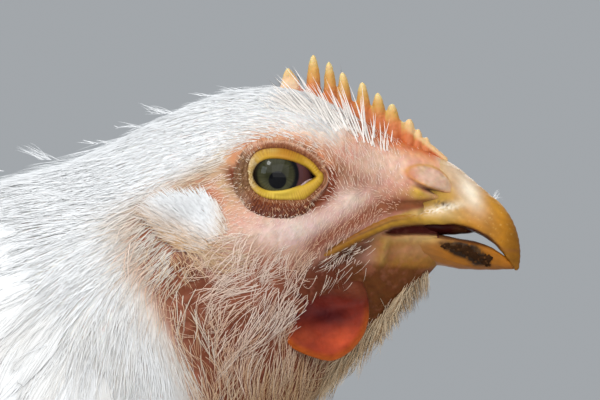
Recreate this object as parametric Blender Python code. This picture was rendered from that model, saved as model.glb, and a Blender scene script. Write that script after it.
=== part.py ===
"""A young white hen that stands still, life size.

The hen faces +X, its left side is +Y, and the floor is at Z = 0. Lengths are in
millimetres and angles in degrees until a mesh is made, where MM turns them to metres.
The right side of the hen is at -Y. Paired parts are made once for each side.
"""

import math

import bmesh
import bpy
from mathutils import Matrix, Vector
from mathutils.bvhtree import BVHTree

MM = 0.001
GAP = 0.3
SIDES = {"right": -1, "left": 1}

# The middle point between the eyes. The head's sizes are offsets from it.
EYES_X, EYES_Z = 172.0, 330.0

# Colours as linear red, green and blue, with a roughness.
FINISHES = {
    "white_feather": ((0.82, 0.80, 0.75), 0.8),
    "face_skin": ((0.72, 0.42, 0.32), 0.6),
    "comb_skin": ((0.80, 0.34, 0.12), 0.5),
    "wattle_skin": ((0.55, 0.09, 0.04), 0.45),
    "bill_horn": ((0.66, 0.42, 0.15), 0.35),
    "iris": ((0.10, 0.11, 0.07), 0.1),
    "leg_scale": ((0.72, 0.48, 0.16), 0.5),
    "claw_horn": ((0.62, 0.50, 0.34), 0.4),
}

# The body from the bill's root to the tail's root. Each station is a flat section:
# top x, z and bottom x, z from the eyes, half width, height of the widest level as a
# share of the section, and the fullness above and below that level.
STATIONS = (
    (33.4, 2.7, 31.0, -17.2, 6.0, 0.55, 2.0, 2.0),  # bill root
    (28.3, 5.3, 28.6, -19.8, 7.4, 0.58, 2.0, 1.9),  # nostrils
    (20.5, 8.6, 24.5, -23.8, 9.6, 0.61, 2.0, 1.6),  # lores
    (11.5, 13.6, 20.0, -29.0, 12.8, 0.63, 2.0, 1.4),  # before the eyes
    (2.5, 17.0, 14.8, -34.4, 15.2, 0.63, 2.0, 1.35),  # eyes
    (-10.0, 16.9, 8.5, -41.3, 17.2, 0.58, 2.0, 1.6),  # ears
    (-23.5, 11.9, 2.5, -50.0, 20.5, 0.53, 2.0, 1.9),  # nape
    (-38.0, 5.6, -4.5, -61.0, 25.0, 0.50, 2.0, 2.0),  # neck, upper
    (-55.0, 1.2, -11.5, -73.0, 30.5, 0.50, 2.0, 2.0),
    (-75.0, -6.5, -17.5, -87.0, 38.0, 0.50, 2.0, 2.0),  # neck, lower
    (-97.0, -19.0, -20.5, -101.0, 48.0, 0.50, 2.0, 2.0),
    (-120.0, -37.0, -20.0, -116.0, 60.0, 0.51, 2.0, 2.0),  # shoulders
    (-143.0, -54.0, -21.0, -135.0, 72.0, 0.53, 2.05, 2.0),  # breast
    (-167.0, -66.0, -32.0, -162.0, 82.0, 0.55, 2.1, 2.0),
    (-192.0, -73.0, -57.0, -192.0, 87.5, 0.56, 2.15, 2.0),
    (-217.0, -76.0, -95.0, -216.0, 88.5, 0.56, 2.2, 2.0),  # middle of the body
    (-240.0, -76.0, -142.0, -226.0, 84.0, 0.55, 2.15, 2.0),
    (-259.0, -73.0, -192.0, -224.0, 75.0, 0.53, 2.1, 2.0),  # abdomen
    (-275.0, -69.0, -240.0, -208.0, 61.0, 0.52, 2.0, 2.0),
    (-288.0, -65.0, -278.0, -178.0, 46.0, 0.52, 2.0, 2.0),  # vent
    (-297.0, -62.0, -297.0, -143.0, 34.0, 0.52, 2.0, 2.0),
    (-304.0, -59.0, -305.0, -112.0, 23.0, 0.50, 2.0, 2.0),  # tail root
)
HEAD_END = 7.0
NECK_END = 11.0
BODY_END = len(STATIONS) - 1

EYE_RADIUS, EYE_DEPTH = 6.5, 5.4
EYE_FRONT = 16.4
# The lids' rim: middle x, z from the eyes, half length, half height, thickness, and
# how far it slopes down to the front.
LID_CENTRE = (1.1, 0.45)
LID_HALF_LENGTH, LID_HALF_HEIGHT = 6.8, 4.3
LID_THICK = 1.9
LID_SLOPE = -7.0

# Comb points from back to front: tip x, z and base x, z from the eyes, and the half
# width of the base along the comb.
COMB_POINTS = (
    (2.1, 20.9, 3.6, 15.2, 1.8),
    (7.1, 23.4, 7.2, 14.0, 1.5),
    (10.1, 22.1, 10.7, 12.6, 1.4),
    (12.7, 20.1, 13.7, 11.4, 1.5),
    (16.5, 18.2, 17.0, 10.0, 1.5),
    (19.5, 16.1, 19.9, 9.0, 1.5),
    (22.2, 14.0, 22.6, 8.0, 1.5),
    (25.6, 11.1, 25.3, 6.6, 1.3),
    (27.3, 9.1, 27.1, 5.6, 1.0),
    (28.9, 7.6, 28.6, 4.8, 0.9),
)
# The comb's blade between its points: x, z of its upper edge and z of its sunk root.
COMB_BLADE = (
    (-0.5, 16.8, 14.5),
    (3.5, 17.9, 14.2),
    (8.5, 17.6, 12.6),
    (12.5, 16.2, 10.2),
    (16.5, 14.6, 8.2),
    (20.5, 13.0, 6.6),
    (24.5, 10.3, 5.0),
    (28.5, 7.2, 3.2),
    (33.0, 3.6, 0.6),
)
COMB_HALF_THICK = 1.7

# Upper bill sections: culmen x, z and cutting edge x, z from the eyes, half width.
UPPER_BILL = (
    (27.0, 2.2, 25.0, -9.3, 6.0),
    (31.0, 3.2, 28.5, -9.2, 6.6),
    (34.4, 1.4, 32.3, -9.3, 6.6),
    (37.2, -0.5, 35.5, -9.8, 6.1),
    (40.3, -2.8, 38.6, -11.0, 5.2),
    (43.3, -5.7, 41.4, -12.6, 4.1),
    (45.3, -8.8, 43.4, -14.5, 2.9),
    (46.6, -12.5, 44.9, -16.2, 1.8),
    (47.0, -15.6, 45.8, -17.4, 1.0),
)
UPPER_BILL_TIP = (46.5, -18.0)
# The horn strip from the bill back to the corner of the mouth: x, z, half height.
MOUTH_STRIP = (
    (33.0, -7.4, 1.9),
    (29.0, -8.1, 1.2),
    (25.5, -8.3, 1.15),
    (22.3, -8.7, 1.15),
    (19.3, -9.8, 1.15),
    (16.3, -11.3, 1.1),
    (13.3, -12.9, 0.95),
    (10.6, -14.4, 0.8),
)
STRIP_HALF_THICK = 1.0

# Lower bill sections: upper x, z and lower x, z from the eyes, half width.
LOWER_BILL = (
    (18.5, -12.8, 19.5, -18.3, 7.6),
    (22.0, -11.6, 22.5, -17.9, 7.4),
    (26.5, -11.0, 27.0, -17.2, 6.6),
    (31.0, -11.2, 31.3, -17.2, 5.6),
    (35.0, -11.9, 35.3, -17.8, 4.6),
    (38.8, -12.7, 39.0, -18.0, 3.7),
    (42.0, -14.0, 42.0, -18.0, 2.6),
    (44.6, -16.0, 44.4, -17.9, 1.4),
)
LOWER_BILL_TIP = (45.9, -17.7)
# The line of the mouth inside the cheeks: x, z and half height of the slit.
MOUTH_LINE = (
    (9.2, -15.9, 0.15),
    (14.0, -14.2, 0.2),
    (18.5, -12.2, 0.5),
    (23.0, -10.4, 0.8),
    (29.0, -10.1, 1.0),
    (36.0, -10.6, 1.2),
)

NOSTRIL = (28.6, -1.7)
EAR = (-15.5, -9.5)
EARLOBE = (-14.0, -17.5)

# A wattle's outline, x and z from the eyes, round its middle.
WATTLE_CENTRE = (9.9, -26.6)
WATTLE_OUTLINE = (
    (17.8, -25.5),
    (17.4, -22.0),
    (15.5, -19.0),
    (12.0, -17.6),
    (8.0, -18.4),
    (4.4, -21.0),
    (2.0, -25.0),
    (1.3, -29.0),
    (3.6, -32.4),
    (7.2, -34.6),
    (10.8, -35.2),
    (14.0, -33.6),
    (16.4, -30.8),
    (17.5, -28.2),
)
WATTLE_HALF_THICK = 1.25
WATTLE_OUT = 11.4

# The legs. Each joint is x, distance from the middle plane, z.
KNEE = (48.0, 44.0, 166.0)
HOCK = (-8.0, 46.0, 98.0)
ANKLE = (12.0, 45.0, 17.0)
THIGH_RADII = ((44.0, 32.0), (43.0, 32.0), (37.0, 29.0), (28.0, 24.0), (19.0, 17.5), (12.0, 11.0))
SCUTES = 9
FOOT_RADIUS = 17.0
# Toes: turn from straight ahead (outwards is positive), length, root radius, pads.
TOES = {
    "hind": (196.0, 17.0, 4.0, 2),
    "inner": (-30.0, 30.0, 4.4, 3),
    "middle": (4.0, 44.0, 4.7, 4),
    "outer": (38.0, 33.0, 4.3, 4),
}
CLAW_LENGTH = 11.0

# The wing lies on the body's side. Its rows of feathers run from the first, outermost
# or lowest feather to the last: root x, z, tip x, z, half width, lift off the body at
# the root and at the tip.
WING_ROWS = {
    "primaries": (6, (26, 184, -92, 186, 6.5, 2.6, 2.3), (22, 204, -143, 222, 6.5, 2.6, 2.3)),
    "secondaries": (9, (42, 178, -52, 164, 8.0, 4.2, 5.3), (18, 230, -114, 236, 8.0, 4.2, 5.3)),
    "greater_coverts": (8, (58, 180, -2, 163, 8.0, 5.6, 8.2), (30, 230, -52, 237, 8.0, 5.6, 8.2)),
    "median_coverts": (6, (72, 192, 26, 175, 8.0, 7.2, 11.0), (52, 228, 0, 236, 8.0, 7.2, 11.0)),
}
WING_STEPS = {"primaries": 4, "secondaries": 4}
VANE_THICK = 0.55
VANE_SLOPE = -0.15
TAIL_SLOPE = 0.14
# The wing's arm under the coverts: centre x, z, half length, half height, bulge.
WING_ARM = (42.0, 206.0, 50.0, 38.0, 11.0)
ARM_LEAN = -6.0

# The tail. Its feathers fan from one point. Angles are above the horizontal.
TAIL_CENTRE = (-120.0, 242.0)
TAIL_PAIRS = 7
TAIL_ANGLES = (13.0, 54.0)
TAIL_LENGTHS = (98.0, 108.0)
TAIL_HALF_WIDTH = 11.0
TAIL_COVERTS = 5
TAIL_COVERT_LENGTHS = (56.0, 66.0)
STUB_LENGTH = 36.0


def clear_scene():
    for obj in list(bpy.data.objects):
        bpy.data.objects.remove(obj)


def finish_of(name):
    """The material of that name, made on first use."""
    made = bpy.data.materials.get(name)
    if made:
        return made
    colour, roughness = FINISHES[name]
    made = bpy.data.materials.new(name)
    made.use_nodes = True
    shader = made.node_tree.nodes["Principled BSDF"]
    shader.inputs["Base Color"].default_value = (*colour, 1.0)
    shader.inputs["Roughness"].default_value = roughness
    made.diffuse_color = (*colour, 1.0)
    return made


def mesh_object(name, points, faces, finish):
    """An object from points in millimetres and faces, with its normals facing out."""
    mesh = bpy.data.meshes.new(name)
    mesh.from_pydata([Vector(p) * MM for p in points], [], faces)
    solid = bmesh.new()
    solid.from_mesh(mesh)
    bmesh.ops.recalc_face_normals(solid, faces=solid.faces)
    solid.to_mesh(mesh)
    solid.free()
    mesh.materials.append(finish_of(finish))
    mesh.shade_smooth()
    obj = bpy.data.objects.new(name, mesh)
    bpy.context.scene.collection.objects.link(obj)
    return obj


def lerp(a, b, share):
    return a + (b - a) * share


def spline(rows, t):
    """Values at t on a smooth curve through the rows, where row i is at t = i."""
    i = min(max(int(math.floor(t)), 0), len(rows) - 2)
    f = t - i
    before, after = rows[max(i - 1, 0)], rows[min(i + 2, len(rows) - 1)]
    found = []
    for p0, p1, p2, p3 in zip(before, rows[i], rows[i + 1], after):
        slope_1, slope_2 = (p2 - p0) / 2, (p3 - p1) / 2
        found.append(
            (2 * f**3 - 3 * f**2 + 1) * p1
            + (f**3 - 2 * f**2 + f) * slope_1
            + (3 * f**2 - 2 * f**3) * p2
            + (f**3 - f**2) * slope_2
        )
    return found


def head_point(x, y, z):
    """A point whose x and z are offsets from the eyes."""
    return Vector((EYES_X + x, y, EYES_Z + z))


def section_point(values, angle):
    """A point of a body section. The angle runs from 0 at the top to 180 at the bottom
    over the left side, and on to 360 over the right side."""
    top = head_point(values[0], 0, values[1])
    bottom = head_point(values[2], 0, values[3])
    width, level, above, below = values[4:]
    a = math.radians(angle)
    fullness = above if math.cos(a) > 0 else below
    out = abs(math.sin(a)) ** (2 / fullness) * math.copysign(1, math.sin(a))
    height = abs(math.cos(a)) ** (2 / fullness)
    share = level + (1 - level) * height if math.cos(a) > 0 else level * (1 - height)
    point = bottom.lerp(top, share)
    point.y = width * out
    return point


def body_ring(t, count):
    values = spline(STATIONS, t)
    return [section_point(values, 360 * k / count) for k in range(count)]


def ring_normal(ring):
    """The direction in which a body ring's plane faces, away from the bill."""
    quarter = len(ring) // 4
    across = ring[0] - ring[2 * quarter]
    out = ring[quarter] - ring[3 * quarter]
    return across.cross(out).normalized()


def loft(name, rings, finish, tip=None, root=None):
    """A closed skin over rings of equal count. An end is flat, or closes on a point."""
    count = len(rings[0])
    points = [p for ring in rings for p in ring]
    faces = []
    for r in range(len(rings) - 1):
        for k in range(count):
            a, b = r * count + k, r * count + (k + 1) % count
            faces.append((a, b, b + count, a + count))
    for ring_index, end in ((0, root), (len(rings) - 1, tip)):
        ring = rings[ring_index]
        centre = end if end is not None else sum(ring, Vector()) / count
        points.append(centre)
        first = ring_index * count
        faces += [(first + k, first + (k + 1) % count, len(points) - 1) for k in range(count)]
    return mesh_object(name, points, faces, finish)


def sheet(name, grid, normals, finish, thick=VANE_THICK):
    """A thin closed plate on a grid of points. Both faces are split into the same
    triangles, so that they keep their distance where the plate curves."""
    rows, columns = len(grid), len(grid[0])
    points = []
    for way in (0.5, -0.5):
        for row, ups in zip(grid, normals):
            points += [p + up * thick * way for p, up in zip(row, ups)]
    under = rows * columns
    faces = []
    for r in range(rows - 1):
        for c in range(columns - 1):
            a, b = r * columns + c, r * columns + c + 1
            d, e = a + columns, b + columns
            for one in ((a, b, e), (a, e, d)):
                faces.append(one)
                faces.append(tuple(under + v for v in reversed(one)))
    rim = [(0, c) for c in range(columns)]
    rim += [(r, columns - 1) for r in range(1, rows)]
    rim += [(rows - 1, c) for c in range(columns - 2, -1, -1)]
    rim += [(r, 0) for r in range(rows - 2, 0, -1)]
    for (r0, c0), (r1, c1) in zip(rim, rim[1:] + rim[:1]):
        a, b = r0 * columns + c0, r1 * columns + c1
        faces += [(a, under + a, under + b), (a, under + b, b)]
    return mesh_object(name, points, faces, finish)


def tube_rings(path, radii, sides=12, relief=None):
    """Rings round a path. Radii are (in the plane of the legs' bend, across it) at each
    point. relief(i, angle) scales the radius at point i."""
    across = Vector((0, 1, 0))
    rings = []
    for i, centre in enumerate(path):
        ahead = (path[min(i + 1, len(path) - 1)] - path[max(i - 1, 0)]).normalized()
        side = (across - ahead * across.dot(ahead)).normalized()
        up = side.cross(ahead).normalized()
        ring = []
        for k in range(sides):
            angle = 2 * math.pi * k / sides
            swell = relief(i, angle) if relief else 1.0
            deep, wide = radii[i]
            ring.append(
                centre + up * (deep * swell * math.cos(angle)) + side * (wide * swell * math.sin(angle))
            )
        rings.append(ring)
    return rings


def tube(name, path, radii, finish, sides=12, tip=None):
    return loft(name, tube_rings(path, radii, sides), finish, tip=tip)


def keep_largest(obj):
    """Drops every closed surface of the object but the one with the most volume."""
    solid = bmesh.new()
    solid.from_mesh(obj.data)
    bmesh.ops.remove_doubles(solid, verts=solid.verts, dist=0.0002 * MM)
    left, groups = set(solid.faces), []
    while left:
        group, edge = set(), [left.pop()]
        while edge:
            face = edge.pop()
            group.add(face)
            for near in (f for e in face.edges for f in e.link_faces if f in left):
                left.discard(near)
                edge.append(near)
        groups.append(group)

    def volume(group):
        total = 0.0
        for face in group:
            first = face.verts[0].co
            for one, two in zip(face.verts[1:], face.verts[2:]):
                total += first.dot(one.co.cross(two.co))
        return abs(total)

    groups.sort(key=volume)
    scraps = [f for group in groups[:-1] for f in group]
    bmesh.ops.delete(solid, geom=scraps, context="FACES")
    solid.to_mesh(obj.data)
    solid.free()


def apply_modifiers(obj):
    graph = bpy.context.evaluated_depsgraph_get()
    mesh = bpy.data.meshes.new_from_object(obj.evaluated_get(graph))
    obj.modifiers.clear()
    obj.data = mesh


def boolean(obj, others, operation):
    """Joins or cuts the object with all the others at once, and removes them."""
    group = bpy.data.collections.new("operands")
    for other in others:
        group.objects.link(other)
    bpy.context.scene.collection.children.link(group)
    modifier = obj.modifiers.new("join", "BOOLEAN")
    modifier.operation = operation
    modifier.solver = "MANIFOLD"
    modifier.operand_type = "COLLECTION"
    modifier.collection = group
    apply_modifiers(obj)
    for other in others:
        bpy.data.objects.remove(other)
    bpy.data.collections.remove(group)
    keep_largest(obj)
    return obj


def grown(obj, by=GAP):
    """A copy of the object, swollen by a distance along its normals."""
    copy = obj.copy()
    copy.data = obj.data.copy()
    copy.name = obj.name + "_grown"
    bpy.context.scene.collection.objects.link(copy)
    solid = bmesh.new()
    solid.from_mesh(copy.data)
    moves = [v.normal * by * MM for v in solid.verts]
    for v, move in zip(solid.verts, moves):
        v.co += move
    solid.to_mesh(copy.data)
    solid.free()
    return copy


def surface_of(rings):
    """A search tree over a closed skin, in millimetres, for points on its side."""
    count = len(rings[0])
    points = [p for ring in rings for p in ring]
    faces = []
    for r in range(len(rings) - 1):
        for k in range(count):
            a, b = r * count + k, r * count + (k + 1) % count
            faces.append((a, b, b + count, a + count))
    return BVHTree.FromPolygons(points, faces)


def side_point(surface, x, z, side, lift=0.0):
    """The point of a skin's left or right side at x and z, lifted along its normal,
    and that normal."""
    far = 400.0
    hit, normal, _, _ = surface.ray_cast(Vector((x, side * far, z)), Vector((0, -side, 0)))
    if hit is None:
        hit, normal, _, _ = surface.find_nearest(Vector((x, side * 30.0, z)))
    if normal.y * side < 0:
        normal = -normal
    return hit + normal * lift, normal


def body_piece(name, start, end, rings, count, finish, gap_before):
    """A length of the body between two stations, with flat ends."""
    made = [body_ring(lerp(start, end, i / (rings - 1)), count) for i in range(rings)]
    if gap_before:
        shift = ring_normal(made[0]) * GAP
        made[0] = [p + shift for p in made[0]]
    return loft(name, made, finish)


def smooth_step(low, high, value):
    share = min(max((value - low) / (high - low), 0.0), 1.0)
    return share * share * (3 - 2 * share)


def face_relief(x, z):
    """How far the face stands out from the plain section, x and z from the eyes."""
    from_eye = math.hypot(x / 1.15, z)
    socket = -1.6 * math.exp(-((from_eye / 6.5) ** 2))
    brow = 1.0 * math.exp(-(((z - 8.0) / 3.0) ** 2) - ((x - 1.0) / 9.0) ** 2)
    cheek = 0.9 * math.exp(-(((z + 9.5) / 4.5) ** 2) - ((x - 3.0) / 10.0) ** 2)
    nostril_swell = 0.9 * math.exp(
        -(((x - NOSTRIL[0]) / 3.6) ** 2) - ((z - NOSTRIL[1]) / 2.0) ** 2
    )
    ear_dip = -1.2 * math.exp(-(((x - EAR[0]) / 3.2) ** 2) - ((z - EAR[1]) / 2.6) ** 2)
    return socket + brow + cheek + nostril_swell + ear_dip


def head_rings(rings=16, count=28):
    made = []
    for i in range(rings):
        ring = body_ring(HEAD_END * i / (rings - 1), count)
        for p in ring:
            if abs(p.y) > 1.0:
                relief = face_relief(p.x - EYES_X, p.z - EYES_Z)
                p.y += math.copysign(relief * smooth_step(1.0, 5.0, abs(p.y)), p.y)
        made.append(ring)
    return made


def lid_ring(side, surface):
    """The thick rim of both lids round one eye, with a corner in front and behind."""
    steps, sides = 16, 5
    slope = math.tan(math.radians(LID_SLOPE))
    path = []
    for i in range(steps):
        a = 2 * math.pi * i / steps
        x = LID_HALF_LENGTH * math.cos(a)
        z = LID_HALF_HEIGHT * math.sin(a) * (1 - 0.15 * abs(math.cos(a)) ** 3) + slope * x
        at = head_point(LID_CENTRE[0] + x, 0, LID_CENTRE[1] + z)
        path.append(side_point(surface, at.x, at.z, side, -0.1)[0])
    middle = sum(path, Vector()) / steps
    points, faces = [], []
    for centre in path:
        out = centre - middle
        out.y = 0
        out.normalize()
        for k in range(sides):
            b = 2 * math.pi * k / sides
            lift = Vector((0, side * LID_THICK / 2 * math.sin(b), 0))
            points.append(centre + out * (LID_THICK / 2 * math.cos(b)) + lift)
    for i in range(steps):
        after = (i + 1) % steps
        for k in range(sides):
            beside = (k + 1) % sides
            faces.append(
                (i * sides + k, i * sides + beside, after * sides + beside, after * sides + k)
            )
    return mesh_object("lid", points, faces, "face_skin")


def ellipsoid(name, centre, radii, finish, segments=14, rings=8, turn=None):
    """A closed ellipsoid. turn is an optional rotation matrix."""
    ball = bmesh.new()
    bmesh.ops.create_uvsphere(ball, u_segments=segments, v_segments=rings, radius=1.0)
    rotation = turn or Matrix.Identity(3)
    points = [rotation @ Vector([c * r for c, r in zip(v.co, radii)]) + centre for v in ball.verts]
    faces = [tuple(v.index for v in f.verts) for f in ball.faces]
    ball.free()
    return mesh_object(name, points, faces, finish)


def make_eye(name, side, swell=0.0):
    """The eyeball, a little flat along its axis."""
    centre = head_point(0.6, side * (EYE_FRONT - EYE_DEPTH), 0.1)
    radii = (EYE_RADIUS + swell, EYE_DEPTH + swell, EYE_RADIUS + swell)
    return ellipsoid(name, centre, radii, "iris")


def lid_opening(side):
    """What is cut from the head between the lids, and clears the eye's front."""
    turn = Matrix.Rotation(math.radians(-LID_SLOPE), 3, "Y")
    at = head_point(LID_CENTRE[0], side * (EYE_FRONT - 0.5), LID_CENTRE[1])
    inside = LID_THICK / 2 - 0.1
    radii = (LID_HALF_LENGTH - inside, 5.0, LID_HALF_HEIGHT - inside)
    return ellipsoid("opening", at, radii, "face_skin", 16, 6, turn)


def mouth_cutter():
    """A thin wedge along the line of the mouth, wider than the cheeks."""
    wide = 20.0
    points, faces = [], []
    for x, z, half in MOUTH_LINE:
        for y, dz in ((-wide, -half), (-wide, half), (wide, half), (wide, -half)):
            points.append(head_point(x, y, z + dz))
    for i in range(len(MOUTH_LINE) - 1):
        for k in range(4):
            a, b = 4 * i + k, 4 * i + (k + 1) % 4
            faces.append((a, b, b + 4, a + 4))
    faces.append((0, 1, 2, 3))
    last = 4 * (len(MOUTH_LINE) - 1)
    faces.append((last + 3, last + 2, last + 1, last))
    return mesh_object("mouth_cutter", points, faces, "face_skin")


def bill_half(name, rows, tip, level, above, below):
    """A bill half, closed at its tip."""
    rings = []
    for x0, z0, x1, z1, width in rows:
        values = (x0, z0, x1, z1, width, level, above, below)
        rings.append([section_point(values, 360 * k / 16) for k in range(16)])
    return loft(name, rings, "bill_horn", tip=head_point(tip[0], 0, tip[1]))


def mouth_strip(side, surface):
    """The edge of horn that runs back along the cheek to the corner of the mouth."""
    path, radii = [], []
    for x, z, half in MOUTH_STRIP:
        point, _ = side_point(surface, EYES_X + min(x, 28.0), EYES_Z + z, side)
        share = smooth_step(24.0, 31.0, x)
        point = head_point(x, lerp(abs(point.y) - 0.3, 6.2, share) * side, z)
        path.append(point)
        radii.append((half, STRIP_HALF_THICK))
    end = path[-1] + Vector((-1.2, 0, -0.7))
    return tube("strip", path, radii, "bill_horn", 6, tip=end)


def make_head():
    """The head, its lids and mouth, both halves of the bill and both eyes."""
    surface = surface_of(head_rings(60, 72))
    head = loft("head", head_rings(), "face_skin")
    lids = [lid_ring(side, surface) for side in SIDES.values()]
    for side in SIDES.values():
        lobe = head_point(EARLOBE[0], 0, EARLOBE[1])
        at, _ = side_point(surface, lobe.x, lobe.z, side, -0.6)
        lids.append(ellipsoid("earlobe", at, (3.4, 1.9, 2.4), "face_skin", 10, 6))
    boolean(head, lids, "UNION")

    upper = bill_half("bill_upper", UPPER_BILL, UPPER_BILL_TIP, 0.12, 1.9, 3.2)
    strips = [mouth_strip(side, surface) for side in SIDES.values()]
    palate = ellipsoid(
        "palate", head_point(30.5, 0, -9.6), (11.0, 3.2, 1.7), "bill_horn", 16, 8
    )
    lower = bill_half("bill_lower", LOWER_BILL, LOWER_BILL_TIP, 0.82, 3.0, 1.9)
    cuts = [grown(piece) for piece in [upper, lower, palate] + strips]
    boolean(upper, strips + [palate], "UNION")
    boolean(lower, [grown(upper)], "DIFFERENCE")

    cuts.append(mouth_cutter())
    for name, side in SIDES.items():
        make_eye("eye_" + name, side)
        cuts.append(make_eye("socket", side, GAP))
        cuts.append(lid_opening(side))
        ear = head_point(EAR[0], 0, EAR[1])
        cup, _ = side_point(surface, ear.x, ear.z, side, 0.4)
        cuts.append(ellipsoid("ear_cup", cup, (2.6, 2.4, 1.8), "face_skin", 10, 6))
        slit = head_point(29.0, side * 8.0, -3.4)
        turn = Matrix.Rotation(math.radians(25), 3, "Y")
        cuts.append(ellipsoid("nostril", slit, (2.6, 3.0, 0.6), "face_skin", 8, 4, turn))
    boolean(head, cuts, "DIFFERENCE")
    return head, surface


def make_comb(head):
    """A low blade with ten points, sunk into the crown."""
    rings = []
    for x, top, low in COMB_BLADE:
        mid, half = (top + low) / 2, (top - low) / 2
        thick = COMB_HALF_THICK * min(1.0, 0.35 + 0.2 * half)
        rings.append(
            [
                head_point(x, thick * math.sin(a), mid + half * math.cos(a))
                for a in (2 * math.pi * k / 10 for k in range(10))
            ]
        )
    comb = loft("comb", rings, "comb_skin")
    points = []
    for tip_x, tip_z, base_x, base_z, half in COMB_POINTS:
        base, tip = Vector((base_x, 0, base_z)), Vector((tip_x, 0, tip_z))
        shares = (0.0, 0.35, 0.62, 0.82, 0.94)
        swells = (1.1, 1.0, 0.82, 0.58, 0.34)
        path = [head_point(*base.lerp(tip, s)) for s in shares]
        radii = [(half * w, min(1.3, half) * w) for w in swells]
        points.append(
            tube("point", path, radii, "comb_skin", 6, tip=head_point(tip_x, 0, tip_z))
        )
    boolean(comb, points, "UNION")
    boolean(comb, [grown(head)], "DIFFERENCE")
    return comb


def make_wattle(name, side, head):
    """A hanging lobe with a thick rim and one fold. Its upper part is deep enough to
    reach the jaw, where the head cuts it."""
    x0, z0 = WATTLE_CENTRE
    count = len(WATTLE_OUTLINE)
    shares = (0.97, 1.0, 0.72, 0.36)
    points, faces = [], []
    for way in (1, -1):
        for share in shares[1:] if way > 0 else shares[1:]:
            for x1, z1 in WATTLE_OUTLINE:
                x, z = lerp(x0, x1, share), lerp(z0, z1, share)
                half = WATTLE_HALF_THICK * (0.35 if share == 1.0 else 0.7 + 0.5 * share)
                fold = 0.8 * math.exp(-(((z + 28.5 - 0.4 * (x - x0)) / 1.8) ** 2)) * (1.1 - share)
                out = WATTLE_OUT + half * way - fold - 0.06 * (z - z0)
                if way < 0:
                    out -= 4.5 * smooth_step(-27.0, -19.0, z)
                points.append(head_point(x, side * out, z))
        points.append(points[-1] * 0)
    rows = len(shares) - 1
    half_count = rows * count + 1
    for half_index in (0, 1):
        base = half_index * half_count
        inner = points[base + (rows - 1) * count : base + rows * count]
        points[base + rows * count] = sum(inner, Vector()) / count
        for r in range(rows - 1):
            for k in range(count):
                a, b = base + r * count + k, base + r * count + (k + 1) % count
                faces.append((a, b, b + count, a + count))
        last = base + (rows - 1) * count
        hub = base + rows * count
        faces += [(last + k, last + (k + 1) % count, hub) for k in range(count)]
    for k in range(count):
        after = (k + 1) % count
        faces.append((k, after, half_count + after, half_count + k))
    wattle = mesh_object(name, points, faces, "wattle_skin")
    boolean(wattle, [grown(head)], "DIFFERENCE")
    return wattle


def feather(path, widths, side, slope):
    """A vane along a path of (point, normal). The slope lifts one edge over the next
    feather: the upper edge where it is positive."""
    grid, normals = [], []
    for i, (centre, normal) in enumerate(path):
        ahead = (path[min(i + 1, len(path) - 1)][0] - path[max(i - 1, 0)][0]).normalized()
        across = normal.cross(ahead).normalized() * side
        up = ahead.cross(across).normalized()
        if up.dot(normal) < 0:
            up = -up
        row = []
        for share in (-1, 0, 1):
            crown = 0.15 if share == 0 else 0.0
            row.append(centre + across * (widths[i] * share) + up * (widths[i] * share * slope + crown))
        grid.append(row)
        normals.append([up] * 3)
    return sheet("vane", grid, normals, "white_feather")


def vane_widths(steps, half_width):
    """Half widths from a narrow quill to a rounded end."""
    shares = {3: (0.45, 1.0, 0.95, 0.4), 4: (0.35, 0.9, 1.0, 0.92, 0.38)}[steps]
    return [half_width * s for s in shares]


def make_wing(name, side, surface, torso):
    """A folded wing: the arm on the body's side, and rows of feathers rooted in it."""
    x0, z0, half_long, half_high, bulge = WING_ARM
    rows, count = 9, 16
    rings = []
    lean = math.radians(ARM_LEAN)
    for r in range(rows):
        share = math.cos(math.pi * (r + 0.5) / rows)
        ring_size = (1 - abs(share) ** 2.6) ** 0.4
        ring = []
        for k in range(count):
            a = 2 * math.pi * k / count
            u, v = half_long * share, half_high * ring_size * math.cos(a)
            x = x0 + u * math.cos(lean) - v * math.sin(lean)
            z = z0 + u * math.sin(lean) + v * math.cos(lean)
            lift = bulge * ring_size * math.sin(a)
            lift = lift if lift > 0 else 0.4 * lift
            point, _ = side_point(surface, x, z, side, lift)
            ring.append(point)
        rings.append(ring)
    wing = loft(name, rings, "white_feather")
    vanes = []
    for row, (feathers, first, last) in WING_ROWS.items():
        steps = WING_STEPS.get(row, 3)
        for i in range(feathers):
            values = [lerp(a, b, i / (feathers - 1)) for a, b in zip(first, last)]
            root_x, root_z, tip_x, tip_z, half, root_lift, tip_lift = values
            bow = 4.0 * math.sin(math.pi * i / (feathers - 1))
            path = []
            for s in range(steps + 1):
                share = s / steps
                x = lerp(root_x, tip_x - bow, share)
                z = lerp(root_z, tip_z, share) + 2.5 * math.sin(math.pi * share)
                path.append(side_point(surface, x, z, side, lerp(root_lift, tip_lift, share)))
            path = [(p, n) for p, n in path]
            vanes.append(feather(path, vane_widths(steps, half), side, VANE_SLOPE))
    boolean(wing, vanes, "UNION")
    boolean(wing, [grown(torso)], "DIFFERENCE")
    return wing


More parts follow.
